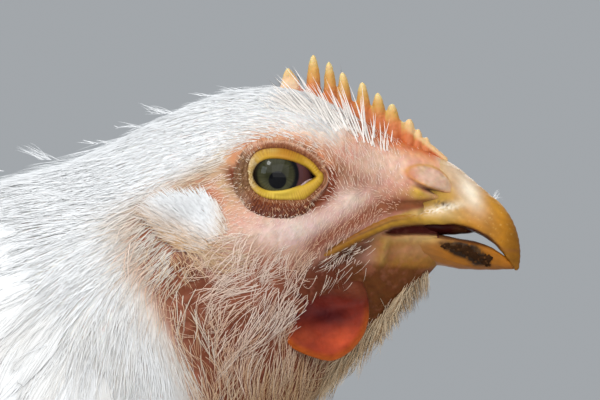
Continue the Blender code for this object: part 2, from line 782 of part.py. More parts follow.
def make_tail(last_ring, torso):
    """The tail's stub behind the body, with fans of feathers on both sides and
    shorter coverts outside them."""
    shift = ring_normal(last_ring)
    centre = sum(last_ring, Vector()) / len(last_ring)
    lean = math.radians(34)
    along = Vector((-math.cos(lean), 0, math.sin(lean)))
    rings = []
    for share, size in ((0.0, 1.0), (0.25, 0.9), (0.55, 0.7), (0.8, 0.45), (0.95, 0.22)):
        middle = centre + shift * GAP + along * (STUB_LENGTH * share)
        rings.append([middle + (p - centre) * size for p in last_ring])
    tail = loft("tail", rings, "white_feather", tip=rings[-1][0].lerp(rings[-1][len(last_ring) // 2], 0.5) + along * 2)
    vanes = []
    fans = (
        (TAIL_PAIRS, TAIL_ANGLES, TAIL_LENGTHS, TAIL_HALF_WIDTH, (19.0, 2.2), 30.0, 4),
        (TAIL_COVERTS, (6.0, 58.0), TAIL_COVERT_LENGTHS, 9.0, (24.0, 5.2), 24.0, 3),
    )
    for side in SIDES.values():
        for feathers, angles, lengths, half, outs, start, steps in fans:
            for i in range(feathers):
                share = i / (feathers - 1)
                angle = math.radians(lerp(*angles, share))
                length = lerp(*lengths, math.sin(math.pi * min(share + 0.15, 1.0) * 0.6))
                out = lerp(*outs, share**0.8)
                ahead = Vector((-math.cos(angle), 0, math.sin(angle)))
                spread = Vector((0, side * 0.10 * (1 - share), 0))
                roof = lerp(0.1, 0.3, share)
                normal = Vector((roof * math.sin(angle), side, roof * math.cos(angle)))
                normal.normalize()
                path = []
                for s in range(steps + 1):
                    reach = lerp(start, length, s / steps)
                    droop = Vector((0, 0, -3.0 * (s / steps) ** 2))
                    root = Vector((TAIL_CENTRE[0], side * out, TAIL_CENTRE[1]))
                    path.append((root + (ahead + spread) * reach + droop, normal))
                vanes.append(feather(path, vane_widths(steps, half), side, TAIL_SLOPE))
    boolean(tail, vanes, "UNION")
    boolean(tail, [grown(torso)], "DIFFERENCE")
    return tail


def leg_point(values, side):
    return Vector((values[0], side * values[1], values[2]))


def make_thigh(name, side, torso):
    """The feathered drumstick from inside the flank to just above the hock."""
    knee, hock = leg_point(KNEE, side), leg_point(HOCK, side)
    path = [knee.lerp(hock, i / (len(THIGH_RADII) - 1)) for i in range(len(THIGH_RADII))]
    thigh = tube(name, path, THIGH_RADII, "white_feather", 20)
    boolean(thigh, [grown(torso)], "DIFFERENCE")
    return thigh


def make_shank(name, side):
    """The scaled shank from the hock to the foot, with plates down its front."""
    knee, hock, ankle = (leg_point(v, side) for v in (KNEE, HOCK, ANKLE))
    thigh_way = (hock - knee).normalized()
    start = hock + thigh_way * GAP
    bend = [start, start + thigh_way * 3.5, start + thigh_way * 6.5 + Vector((1.2, 0, -2.2))]
    path = list(bend)
    radii = [(8.2, 7.4), (8.6, 7.8), (8.0, 7.2)]
    below = path[-1]
    steps = 2 * SCUTES
    for i in range(1, steps + 1):
        share = i / steps
        path.append(below.lerp(ankle, share))
        slim = 1 - 0.22 * math.sin(math.pi * min(share * 1.15, 1.0))
        radii.append((lerp(7.0, 7.4, share) * slim, lerp(6.2, 6.6, share) * slim))

    def plates(i, angle):
        edge = 0.045 if i % 2 else -0.02
        front = max(-math.cos(angle), 0.0) ** 0.5
        return 1 + edge * front if i >= len(bend) else 1.0

    rings = tube_rings(path, radii, 10, plates)
    loft(name, rings, "leg_scale")
    return rings[-1]


def toe_way(side, turn):
    """The level direction of a toe that turns outwards from straight ahead."""
    a = math.radians(turn)
    return Vector((math.cos(a), side * math.sin(a), 0))


def toe_ring(centre, way, wide, high, count=8):
    """A toe's section, standing on the floor with a small flat under it."""
    side = Vector((-way.y, way.x, 0))
    ring = []
    for k in range(count):
        a = 2 * math.pi * k / count
        point = centre + side * (wide * math.sin(a)) + Vector((0, 0, high + high * math.cos(a)))
        point.z = max(point.z - 0.12 * high, 0.0)
        ring.append(point)
    return ring


def make_foot(name, side, shank_ring):
    """The ball of the foot with the four stumps that the toes go on from."""
    ankle = leg_point(ANKLE, side)
    ground = Vector((ankle.x, ankle.y, 0))
    away = ring_normal(shank_ring)
    away = away if away.z < 0 else -away
    path = [Vector((ankle.x + 1.0, ankle.y, 10.5)), Vector((ankle.x + 1.2, ankle.y, 4.5))]
    rings = [[p + away * GAP for p in shank_ring]]
    rings += tube_rings(path, [(8.2, 7.4), (7.6, 7.4)], len(shank_ring))
    foot = loft(name, rings, "leg_scale")
    stumps = []
    for turn, _, radius, _ in TOES.values():
        way = toe_way(side, turn)
        rings = []
        for reach in (0.0, 6.0, 11.5, FOOT_RADIUS):
            swell = lerp(1.25, 1.0, reach / FOOT_RADIUS)
            rings.append(toe_ring(ground + way * reach, way, radius * swell, radius * swell * 0.95))
        stumps.append(loft("stump", rings, "leg_scale"))
    boolean(foot, stumps, "UNION")
    return foot


def make_toe(toe_name, claw_name, side, turn, length, radius, pads):
    """One toe with its pads, and the claw that goes on from it."""
    ankle = leg_point(ANKLE, side)
    ground = Vector((ankle.x, ankle.y, 0))
    way = toe_way(side, turn)
    steps = 3 * pads
    rings = []
    for i in range(steps + 1):
        share = i / steps
        reach = FOOT_RADIUS + GAP + (length - GAP) * share
        pad = abs(math.sin(math.pi * share * pads)) if 0 < i < steps else 0.0
        wide = lerp(radius, 0.66 * radius, share) * (1 + 0.10 * pad)
        rings.append(toe_ring(ground + way * reach, way, wide, wide * 0.95))
    toe = loft(toe_name, rings, "leg_scale")

    last = rings[-1]
    centre = sum(last, Vector()) / len(last)
    claw_rings = []
    for share, size in ((0.0, 0.78), (0.3, 0.62), (0.6, 0.42), (0.85, 0.2)):
        sink = Vector((0, 0, 0.8 * share - 2.6 * share**2))
        middle = centre + way * (GAP + CLAW_LENGTH * share) + sink
        ring = [middle + (p - centre) * size for p in last]
        for p in ring:
            p.z = max(p.z, 0.25)
        claw_rings.append(ring)
    tip = centre + way * (GAP + CLAW_LENGTH)
    tip.z = 0.6
    loft(claw_name, claw_rings, "claw_horn", tip=tip)
    return toe


def make_body():
    """The neck and torso, each with flat ends where it meets its neighbour."""
    neck = body_piece("neck", HEAD_END, NECK_END, 9, 28, "white_feather", True)
    torso = body_piece("torso", NECK_END, BODY_END, 19, 28, "white_feather", True)
    return neck, torso


def main():
    clear_scene()
    head, _ = make_head()
    make_comb(head)
    neck, torso = make_body()
    last_ring = body_ring(BODY_END, 20)
    make_tail(last_ring, torso)
    rings = [body_ring(lerp(NECK_END - 1, BODY_END, i / 120), 96) for i in range(121)]
    flank = surface_of(rings)
    for name, side in SIDES.items():
        make_wattle("wattle_" + name, side, head)
        make_wing("wing_" + name, side, flank, torso)
        make_thigh("thigh_" + name, side, torso)
        shank_ring = make_shank("shank_" + name, side)
        make_foot("foot_" + name, side, shank_ring)
        for toe, (turn, length, radius, pads) in TOES.items():
            make_toe(f"toe_{toe}_{name}", f"claw_{toe}_{name}", side, turn, length, radius, pads)


main()
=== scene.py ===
"""The looks of a young white hen: skin, plumage, head, bill, comb, eyes and legs.

The hen faces +X and its left side is +Y. Sizes are in millimetres and turn to metres
where a mesh is made. Head sizes are offsets from the middle point between the eyes.
"""

import math

import bmesh
import bpy
import numpy as np
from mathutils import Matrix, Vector
from mathutils.bvhtree import BVHTree

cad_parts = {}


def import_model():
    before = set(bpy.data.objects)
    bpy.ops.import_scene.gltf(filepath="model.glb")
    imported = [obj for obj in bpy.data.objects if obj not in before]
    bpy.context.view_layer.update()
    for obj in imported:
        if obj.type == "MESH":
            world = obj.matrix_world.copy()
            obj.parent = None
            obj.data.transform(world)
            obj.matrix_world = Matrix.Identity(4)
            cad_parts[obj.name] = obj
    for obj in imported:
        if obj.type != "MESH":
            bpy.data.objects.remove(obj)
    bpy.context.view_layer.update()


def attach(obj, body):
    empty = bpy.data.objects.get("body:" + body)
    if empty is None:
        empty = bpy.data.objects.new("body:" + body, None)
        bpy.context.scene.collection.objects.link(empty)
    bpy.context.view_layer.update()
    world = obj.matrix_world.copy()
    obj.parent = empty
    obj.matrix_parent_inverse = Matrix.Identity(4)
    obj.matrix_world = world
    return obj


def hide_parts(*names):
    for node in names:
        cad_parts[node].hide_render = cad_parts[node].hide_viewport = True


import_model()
rng = np.random.default_rng(11)

MM = 0.001
EYES_X, EYES_Z = 172.0, 330.0
SIDES = {"right": -1, "left": 1}
TINY = 1e-9
LOWEST = 0.05
JAW_X = (5.0, 12.0, 20.0, 24.0, 28.0)

# The body's sections, as the solids have them: top x, z, bottom x, z, half width,
# level of the widest part, fullness above and below it.
STATIONS = np.array(
    (
        (33.4, 2.7, 31.0, -17.2, 6.0, 0.55, 2.0, 2.0),
        (28.3, 5.3, 28.6, -19.8, 7.4, 0.58, 2.0, 1.9),
        (20.5, 8.6, 24.5, -23.8, 9.6, 0.61, 2.0, 1.6),
        (11.5, 13.6, 20.0, -29.0, 12.8, 0.63, 2.0, 1.4),
        (2.5, 17.0, 14.8, -34.4, 15.2, 0.63, 2.0, 1.35),
        (-10.0, 16.9, 8.5, -41.3, 17.2, 0.58, 2.0, 1.6),
        (-23.5, 11.9, 2.5, -50.0, 20.5, 0.53, 2.0, 1.9),
        (-38.0, 5.6, -4.5, -61.0, 25.0, 0.50, 2.0, 2.0),
        (-55.0, 1.2, -11.5, -73.0, 30.5, 0.50, 2.0, 2.0),
        (-75.0, -6.5, -17.5, -87.0, 38.0, 0.50, 2.0, 2.0),
        (-97.0, -19.0, -20.5, -101.0, 48.0, 0.50, 2.0, 2.0),
        (-120.0, -37.0, -20.0, -116.0, 60.0, 0.51, 2.0, 2.0),
        (-143.0, -54.0, -21.0, -135.0, 72.0, 0.53, 2.05, 2.0),
        (-167.0, -66.0, -32.0, -162.0, 82.0, 0.55, 2.1, 2.0),
        (-192.0, -73.0, -57.0, -192.0, 87.5, 0.56, 2.15, 2.0),
        (-217.0, -76.0, -95.0, -216.0, 88.5, 0.56, 2.2, 2.0),
        (-240.0, -76.0, -142.0, -226.0, 84.0, 0.55, 2.15, 2.0),
        (-259.0, -73.0, -192.0, -224.0, 75.0, 0.53, 2.1, 2.0),
        (-275.0, -69.0, -240.0, -208.0, 61.0, 0.52, 2.0, 2.0),
        (-288.0, -65.0, -278.0, -178.0, 46.0, 0.52, 2.0, 2.0),
        (-297.0, -62.0, -297.0, -143.0, 34.0, 0.52, 2.0, 2.0),
        (-304.0, -59.0, -305.0, -112.0, 23.0, 0.50, 2.0, 2.0),
    )
)
LAST = len(STATIONS) - 1


def step(low, high, value):
    """A soft step from 0 at low to 1 at high."""
    share = np.clip((value - low) / (high - low), 0.0, 1.0)
    return share * share * (3 - 2 * share)


def hump(value):
    """1 at 0, and less the farther a value is from it."""
    return np.exp(-(value**2))


def from_eyes(points):
    """How far ahead of the eyes and above them points lie."""
    return points[:, 0] - EYES_X, points[:, 2] - EYES_Z


def world(x, y, z):
    """Points from offsets ahead of the eyes, to the left and above the eyes."""
    return np.stack(np.broadcast_arrays(EYES_X + x, y, EYES_Z + z), axis=-1)


def unit(vectors, least=0.0):
    return vectors / (np.linalg.norm(vectors, axis=-1)[..., None] + least)


def around(count):
    return np.linspace(0, 2 * math.pi, count, endpoint=False)


def plain(value, count):
    """The same colour or direction for many places."""
    return np.tile(np.array(value, float), (count, 1))


def heading(angle, aside=0.0):
    """Directions at angles from straight ahead over upwards."""
    return np.stack(np.broadcast_arrays(np.cos(angle), aside, np.sin(angle)), axis=1)


def leaning(x, z, at_x, at_z, lean):
    """Distances along and across a line through a place, at an angle in degrees."""
    c, s = math.cos(math.radians(lean)), math.sin(math.radians(lean))
    return (x - at_x) * c + (z - at_z) * s, (z - at_z) * c - (x - at_x) * s


def bump(x, z, at_x, at_z, wide, high, lean=0.0):
    """A soft round bump, 1 at its middle. lean turns its long side, in degrees."""
    u, v = leaning(x, z, at_x, at_z, lean)
    return np.exp(-((u / wide) ** 2) - (v / high) ** 2)


def inside(x, z, outline, soft):
    """1 inside an outline, 0 outside, and a blend of that width across its edge."""
    corners = np.array(outline, float)
    after = np.roll(corners, -1, axis=0)
    px, pz = x[:, None], z[:, None]
    dx, dz = after[:, 0] - corners[:, 0], after[:, 1] - corners[:, 1]
    share = np.clip(
        ((px - corners[:, 0]) * dx + (pz - corners[:, 1]) * dz) / (dx**2 + dz**2), 0, 1
    )
    away = np.hypot(px - corners[:, 0] - share * dx, pz - corners[:, 1] - share * dz)
    away = away.min(axis=1)
    crosses = (corners[:, 1] > pz) != (after[:, 1] > pz)
    at = corners[:, 0] + (pz - corners[:, 1]) / np.where(dz == 0, TINY, dz) * dx
    within = (crosses & (px < at)).sum(axis=1) % 2 == 1
    return step(-soft / 2, soft / 2, np.where(within, away, -away))


def ripple(points, size, seed=0):
    """Smooth noise from -1 to 1 at points of any shape (..., 3)."""
    draw = np.random.default_rng(100 + seed)
    total = np.zeros(points.shape[:-1])
    for octave in range(5):
        way = draw.normal(size=3)
        way /= np.linalg.norm(way)
        turn = draw.normal(size=3)
        turn /= np.linalg.norm(turn)
        scale = 2 * math.pi / (size * 0.8 ** (octave % 3))
        phase = draw.uniform(0, 6.28, 2)
        bend = np.sin(points @ turn * scale * 0.6 + phase[0])
        total += np.sin(points @ way * scale + phase[1] + 1.7 * bend)
    return total / 5


def spline(rows, t):
    i = np.clip(np.floor(t).astype(int), 0, len(rows) - 2)
    f = (t - i)[:, None]
    p0, p1 = rows[np.maximum(i - 1, 0)], rows[i]
    p2, p3 = rows[i + 1], rows[np.minimum(i + 2, len(rows) - 1)]
    slope_1, slope_2 = (p2 - p0) / 2, (p3 - p1) / 2
    return (
        (2 * f**3 - 3 * f**2 + 1) * p1
        + (f**3 - 2 * f**2 + f) * slope_1
        + (3 * f**2 - 2 * f**3) * p2
        + (f**3 - f**2) * slope_2
    )


def closed_curve(outline, count):
    """Even places along a smooth closed curve through an outline's corners."""
    rows = np.concatenate([outline[-1:], outline, outline[:2]])
    return spline(rows, np.linspace(0, len(outline), count, endpoint=False) + 1.0)


def section(values, a):
    """Points of sections at angles a, from 0 at the top over the left side."""
    cos, sin = np.cos(a), np.sin(a)
    fullness = np.where(cos > 0, values[:, 6], values[:, 7])
    out = np.abs(sin) ** (2 / fullness) * np.sign(sin)
    height = np.abs(cos) ** (2 / fullness)
    level = values[:, 5]
    share = np.where(cos > 0, level + (1 - level) * height, level * (1 - height))
    x = values[:, 2] + (values[:, 0] - values[:, 2]) * share
    z = values[:, 3] + (values[:, 1] - values[:, 3]) * share
    return world(x, values[:, 4] * out, z)


LID_X, LID_Z, LID_SLOPE = 1.1, 0.45, -7.0
LID_LONG, LID_HIGH = 6.8, 4.3
# Which way the feathers lie on the head and neck: place, and direction in degrees from
# straight ahead over upwards.
LIE = np.array(
    (
        (-8.7, 12.5, 186), (0.0, 13.0, 172), (8.0, 9.5, 152), (12.0, 13.0, 128), (18.0, 9.0, 114),
        (26.0, 5.0, 122), (0.0, 7.0, 168), (-6.0, 4.0, 196), (-10.0, 1.0, 202), (14.0, 0.5, 108),
        (20.0, 2.0, 102), (24.0, -4.0, 150), (10.0, -3.0, 150), (30.0, -1.0, 180), (2.5, -7.5, 225),
        (10.0, -8.0, 238), (17.0, -6.0, 244), (-16.3, 2.1, 207), (-22.0, -2.7, 209), (-31.5, -2.7, 201),
        (-41.0, -4.6, 193), (-46.7, -14.0, 206), (-33.4, -16.0, 224), (-41.0, -29.0, 234),
        (-31.5, -33.0, 250), (-24.0, -33.0, 268), (-18.2, -27.4, 286), (-14.4, -33.0, 298),
        (-24.0, -10.0, 228), (-25.8, -21.7, 250), (-6.0, -20.0, 207), (-8.0, -14.0, 196),
        (-5.0, -28.0, 228), (4.5, -33.0, 229), (-5.0, -40.0, 238), (14.0, -31.0, 228), (12.0, -22.0, 232),
        (25.5, -21.7, 250), (30.0, -19.0, 262), (-20.0, -50.0, 258), (-50.0, -60.0, 238),
        (-60.0, -20.0, 206),
    ),
    float,
)
EAR_TUFT = (
    (-24.1, -7.8), (-22.0, -5.5), (-18.2, -4.2), (-15.0, -3.8), (-12.2, -5.1), (-9.9, -7.2), (-9.1, -9.9),
    (-10.6, -12.7), (-13.5, -14.6), (-17.3, -13.8), (-19.8, -11.8), (-22.0, -9.5),
)
FUR = (
    (-60.0, 30.0), (-60.0, -75.0), (-22.0, -75.0), (-15.0, -44.0), (-17.8, -33.0), (-21.5, -25.5),
    (-25.0, -18.8), (-26.5, -13.0), (-27.5, -6.8), (-22.0, -3.6), (-14.4, -2.4), (-9.0, 1.8), (-6.2, 5.4),
    (-1.0, 7.4), (6.0, 7.2), (11.5, 6.0), (14.0, 8.6), (17.0, 10.4), (15.0, 14.0), (8.0, 19.0),
    (-2.0, 25.0),
)
FACE = (
    (22.0, 9.0), (14.0, 12.0), (6.0, 9.5), (-3.0, 8.4), (-8.6, 4.0), (-10.5, 0.5), (-12.5, -3.0),
    (-9.0, -7.6), (-6.5, -13.0), (-8.5, -18.5), (-3.0, -24.0), (3.0, -29.0), (9.0, -36.0),
    (30.0, -40.0), (45.0, 0.0), (30.0, 14.0), (12.0, 22.0),
)
BARE_CHEEK = (
    (-26.5, -6.5), (-22.5, -15.0), (-14.0, -18.6), (-8.0, -17.4), (-5.5, -14.5), (2.0, -16.0),
    (8.0, -17.0), (17.0, -17.5), (24.0, -20.5), (14.0, -36.0), (9.0, -44.0), (2.0, -56.0),
    (-12.0, -60.0), (-15.0, -44.0), (-17.8, -33.0), (-21.5, -25.5), (-25.0, -18.8), (-27.0, -12.0),
)


def body(t, a):
    """Plain sections of the body, at stations t and angles a."""
    return section(spline(STATIONS, t), a)


def middle_of(t):
    """Points halfway between the top and the bottom of the body."""
    rows = spline(STATIONS, t)
    return world((rows[:, 0] + rows[:, 2]) / 2, 0.0, (rows[:, 1] + rows[:, 3]) / 2)


def relief(points):
    """How far the face stands out from the plain sections."""
    x, z = from_eyes(points)
    out = -1.6 * hump(np.hypot(x / 1.15, z) / 6.5)
    for height, *spot in (
        (1.0, 1.0, 8.0, 9.0, 3.0), (0.9, 3.0, -9.5, 10.0, 4.5), (0.9, 28.6, -1.7, 3.6, 2.0),
        (-1.2, -15.5, -9.5, 3.2, 2.6),
    ):
        out += height * bump(x, z, *spot)
    return out


def pillow(x, z):
    """Place over the flap that covers the nostril: 1 long and 1 high at its rim."""
    u, v = leaning(x, z, 29.7, -0.4, -24)
    return u / 5.0, (v + 0.03 * u**2 - 0.2) / 2.0


def fine_relief(points):
    """Folds of the face that are too fine for the solids."""
    x, z = from_eyes(points)
    rim = np.hypot(*pillow(x, z))
    out = 0.95 * step(1.12, 0.62, rim + 0.08 * ripple(points, 3.0, 10))
    out += 0.40 * hump((rim - 0.94) / 0.10) * (0.45 + 0.55 * step(2.0, -1.0, z))
    out -= 0.25 * hump((rim - 1.22) / 0.10) * step(1.5, -1.0, z)
    for height, *spot in (
        (-1.5, 30.6, -3.0, 3.6, 0.36, -17), (0.5, 27.4, -3.1, 1.6, 0.8, -40),
        (-0.8, 27.5, -5.1, 5.0, 0.45, 2), (0.7, 20.4, -15.0, 0.75, 2.8, -12),
        (-0.6, 21.8, -15.0, 0.6, 2.6, -12), (-0.9, 14.5, -14.9, 6.0, 0.9, 26),
    ):
        out += height * bump(x, z, *spot)
    under = z - (-16.2 + 0.33 * (x - 9.0) + 0.012 * (x - 9.0) ** 2)
    out += 0.7 * hump(under / 0.9) * step(6, 9, x) * step(21, 17, x)
    out -= 0.7 * hump((under - 1.6) / 0.5) * step(7, 10, x) * step(20, 16, x)
    folds = np.sin((x * 0.9 + z * 0.5) * 1.9 + 1.4 * np.sin(z * 0.55))
    out += 0.22 * folds * inside(x, z, BARE_CHEEK, 4.0)
    return out + (0.10 * ripple(points, 2.6, 1) + 0.12 * ripple(points, 7.0, 2)) * inside(x, z, FACE, 4.0)


def coat_depth(points):
    """How deep the skin lies under the tips of the feathers."""
    x, z = from_eyes(points)
    back = -x + 0.35 * z
    depth = 0.2 + 0.9 * step(0, 16, back) + 2.2 * step(14, 60, back) + 2.2 * step(60, 150, back)
    face = inside(x, z, FACE, 5.0)
    return depth * (1 - face) + 0.15 * face


def surface(t, a, lift=None, fine=False, ahead=None):
    """Points on the body. Without lift it is the feathers' outer form, with it the
    skin raised by lift. t runs back along the stations and a round the section. ahead
    runs from 0 to 1 over the end that dips into the bill."""
    t = np.clip(t, 0.0, LAST)
    base = body(t, a)
    if ahead is not None:
        shut = 1 - ahead**1.8
        upper = step(-9.5, -5.0, base[:, 2] - EYES_Z)
        level = EYES_Z - 13.5 + 9.0 * upper
        base[:, 2] = level + (base[:, 2] - level) * shut - 3.4 * upper * ahead
        base[:, 0] += 4.6 * upper * ahead
        base[:, 1] *= shut
    wide = step(1.0, 5.0, np.abs(base[:, 1])) * (t < 8)
    out = relief(base) * wide
    if fine:
        out = out + fine_relief(base) * wide
    base[:, 1] += np.sign(base[:, 1]) * out
    if lift is None:
        return base
    e = 0.004
    along = body(np.clip(t + e, 0, LAST), a) - body(np.clip(t - e, 0, LAST), a)
    normal = unit(np.cross(along, body(t, a + e) - body(t, a - e)), 1e-12)
    normal *= np.sign(((base - middle_of(t)) * normal).sum(axis=1))[:, None]
    return base + normal * (lift - coat_depth(base))[:, None]


def frame_at(t, a):
    """Point, normal, way back along the body, way round it, and the length of one
    unit of t and of a, at each place."""
    e = 0.01
    low, high = np.maximum(t - e, 0), np.minimum(t + e, LAST)
    at = surface(t, a)
    along = (surface(high, a) - surface(low, a)) / (high - low)[:, None]
    round_ = (surface(t, a + e) - surface(t, a - e)) / (2 * e)
    long_t, long_a = np.linalg.norm(along, axis=1), np.linalg.norm(round_, axis=1)
    along /= long_t[:, None]
    round_ /= long_a[:, None]
    normal = unit(np.cross(along, round_))
    normal *= np.sign(((at - middle_of(t)) * normal).sum(axis=1))[:, None]
    return at, normal, along, round_, long_t, long_a


# colours, linear, by place on the head and body
WHITE = np.array((0.80, 0.81, 0.82))


def blend(colour, other, share):
    return colour + (other - colour) * np.reshape(share, (-1, 1))


def layered(colour, *layers):
    """Colours with others laid over them. Each layer is a colour and its share."""
    for value, share in layers:
        colour = blend(colour, value, np.clip(share, 0, 1))
    return colour


def spotted(colour, x, z, spots):
    """Colours with soft spots laid over them. Each spot is a colour, its strength, and
    what bump takes."""
    return layered(colour, *((value, strength * bump(x, z, *spot)) for value, strength, *spot in spots))


CHEEK_SPOTS = (
    ((0.74, 0.58, 0.53), 0.95, 4.0, -10.5, 10, 3.6, 8),
    ((0.72, 0.55, 0.48), 0.9, 14.0, -4.5, 4.6, 2.8, 30),
    ((0.24, 0.095, 0.05), 0.95, 11.6, 1.6, 4.4, 2.4, -30),
    ((0.29, 0.125, 0.08), 0.85, 15.8, -0.8, 4.2, 2.4, -10),
    ((0.57, 0.39, 0.30), 0.8, 18.5, 2.4, 4.0, 2.4, -20),
    ((0.73, 0.50, 0.39), 0.9, 23.5, 3.6, 5, 2.8, -25),
    ((0.56, 0.20, 0.085), 0.9, 18.0, 9.2, 13, 2.2, -30),
    ((0.68, 0.38, 0.20), 0.7, 28.5, 4.0, 4.5, 1.6, -25),
    ((0.50, 0.39, 0.21), 0.85, -9.5, -1.2, 2.4, 5.0, 12),
    ((0.50, 0.36, 0.22), 0.8, -10.0, 3.0, 5.0, 2.2, 35),
    ((0.35, 0.20, 0.11), 0.9, -15.5, -1.6, 8.5, 2.6, 26),
    ((0.44, 0.14, 0.07), 0.85, -12.0, -3.6, 3.4, 1.5, -40),
    ((0.64, 0.40, 0.26), 0.7, 1.0, 8.2, 8.0, 1.5),
)
BARE_STRIP = (-15, -28, 5.0, 13, 18)
JAW_SPOTS = (
    ((0.13, 0.032, 0.015), 0.9, 12.5, -19.5, 7, 3.0, 10),
    ((0.045, 0.014, 0.006), 1.1, 12.5, -15.4, 6.5, 2.4, 27),
    ((0.11, 0.032, 0.012), 0.9, 19.0, -20.5, 5.0, 3.0, 30),
    ((0.12, 0.035, 0.016), 0.9, 12.5, -18.6, 5.0, 2.6, 10),
    ((0.115, 0.026, 0.011), 0.95, 8.5, -21.0, 7.5, 4.2, 8),
    ((0.10, 0.032, 0.013), 0.9, 16.6, -13.0, 3.2, 1.9, 20),
)
CHIN_SPOTS = (
    ((0.17, 0.06, 0.02), 0.7, 22.0, -15.4, 0.7, 2.6, -20),
    ((0.40, 0.20, 0.10), 0.6, 27.0, -14.0, 6.0, 1.6, 6),
    ((0.46, 0.30, 0.12), 0.7, 27.5, -11.9, 6.0, 0.7, 2),
)
NOSTRIL_SPOTS = (
    ((0.46, 0.26, 0.065), 0.92, 28.2, -4.0, 4.0, 1.1, -12),
    # Painted shade: the near-black line in the groove under the nostril's flap.
    ((0.06, 0.02, 0.01), 0.97, 30.4, -3.0, 3.8, 0.40, -17),
    ((0.60, 0.37, 0.05), 0.9, 27.2, -3.2, 1.6, 0.8, -40),
    # Painted shade: the three dark red-brown spots below lie along the groove above the mouth's horny strip.
    ((0.22, 0.075, 0.03), 0.92, 24.5, -5.6, 5.5, 1.0, 6),
    ((0.14, 0.05, 0.02), 0.8, 31.0, -5.4, 2.2, 0.6, -6),
    ((0.18, 0.055, 0.02), 0.9, 25.5, -5.9, 5.0, 0.5, 8),
)


def skin_colour(points):
    """Colour of the skin, with painted shade in the grooves round the nostril's flap and above the mouth."""
    x, z = from_eyes(points)
    bare = 1 - inside(x, z, FUR, 4.0)
    colour = layered(
        plain((0.80, 0.78, 0.75), len(points)),
        ((0.56, 0.34, 0.20), 1 - inside(x, z, FUR, 15.0)),
        ((0.60, 0.32, 0.23), bare),
    )
    colour = spotted(colour, x, z, CHEEK_SPOTS)
    from_eye = np.hypot((x - LID_X) / 9.4, (z - LID_Z + 0.10 * (x - LID_X)) / 6.8)
    above = step(0.5, 3.0, z)
    ring = hump((from_eye - 1.02) / 0.14)
    jaw = z - np.interp(x, JAW_X, (-15.0, -11.0, -6.6, -5.8, -5.4))
    colour = layered(
        colour,
        ((0.48, 0.19, 0.085), ring * above * 0.9),
        ((0.15, 0.035, 0.014), 1.2 * ring * (1 - above)),
        ((0.24, 0.062, 0.028), 0.95 * hump((jaw - 0.6) / 2.6) * step(2, 8, x) * step(31, 27, x)),
        ((0.28, 0.085, 0.045), 0.95 * inside(x, z, BARE_CHEEK, 5.0)),
        ((0.26, 0.085, 0.04), 0.9 * bump(x, z, -24.5, -9.5, 1.8, 5.0, 10)),
        ((0.13, 0.034, 0.015), 0.95 * bump(x, z, -17, -18.5, 8, 3.2, -38)),
        ((0.12, 0.03, 0.012), 0.95 * bump(x, z, *BARE_STRIP)),
        ((0.30, 0.12, 0.07), 0.8 * bump(x, z, *BARE_STRIP) * np.clip(1.3 * ripple(points, 2.2, 74), 0, 1)),
        ((0.15, 0.04, 0.02), 0.9 * step(-20.0, -26.0, z - 0.25 * x) * step(-22, -12, x + 0.1 * z)),
    )
    colour = spotted(colour, x, z, JAW_SPOTS)
    lower_horn = step(17.0, 20.5, x) * step(-9.0, -12.5, z) * step(-20.0, -17.5, z) * step(37, 33, x)
    uneven = np.clip(1 + ripple(points, 2.0, 8), 0, 1)
    colour = layered(
        colour,
        ((0.27, 0.115, 0.018), lower_horn),
        ((0.36, 0.21, 0.06), 0.75 * bump(x, z, 20.6, -14.6, 0.7, 3.0, -14) * uneven),
    )
    colour = spotted(colour, x, z, CHIN_SPOTS)
    crest = z - np.interp(x, (14.0, 22.5, 28.4, 32.0), (9.6, 7.2, 5.2, 3.2))
    horn = upper_bill_colour(points, plain((0, 0, 1), len(points)))
    rim = np.hypot(*pillow(x, z))
    sill = z - np.interp(x, (20.7, 25.5, 30.6, 34.0), (-8.5, -6.5, -5.6, -5.2))
    horny = step(0.35, -0.45, sill) * step(19.5, 22.5, x) * step(-9.9, -9.3, z)
    colour = layered(
        colour,
        ((0.12, 0.036, 0.008), 0.95 * step(-16.6, -18.0, z + 0.06 * (x - 24)) * step(12, 17, x)),
        ((0.54, 0.125, 0.03), 0.95 * hump(crest / 1.5) * step(13, 17, x) * step(33, 29, x)),
        (horn, step(29.5, 32.5, x + 0.3 * (z + 5)) * step(-10.5, -8.8, z) * step(-2.0, -4.0, z)),
        ((0.68, 0.50, 0.36), step(31.0, 34.0, x + 0.4 * z) * step(-4.0, -2.0, z)),
        ((0.46, 0.27, 0.06), horny),
        ((0.54, 0.38, 0.17), 0.8 * horny * step(24.0, 29.0, x)),
        ((0.54, 0.34, 0.23), step(1.10, 0.80, rim)),
        ((0.54, 0.27, 0.085), 0.95 * hump((rim - 0.97) / 0.13)),
        ((0.62, 0.42, 0.32), 0.6 * step(0.8, 0.3, rim + 0.5 * ripple(points, 2.2, 10))),
        ((0.40, 0.14, 0.07), 0.7 * bump(x, z, 26.0, 0.2, 1.2, 1.4)),
        # Painted shade in the groove round the nostril's flap.
        ((0.26, 0.09, 0.03), 0.7 * hump((rim - 1.28) / 0.10) * step(30, 34, x)),
    )
    colour = spotted(colour, x, z, NOSTRIL_SPOTS)
    mottle = ripple(points, 1.6, 5) * 0.09 + ripple(points, 4.0, 6) * 0.09
    colour = colour * (1 + (mottle * (0.2 + 0.8 * bare))[:, None])
    colour[:, 1] *= 1 - 0.10 * ripple(points, 2.6, 7) * bare
    return np.clip(colour, 0.004, 0.95)


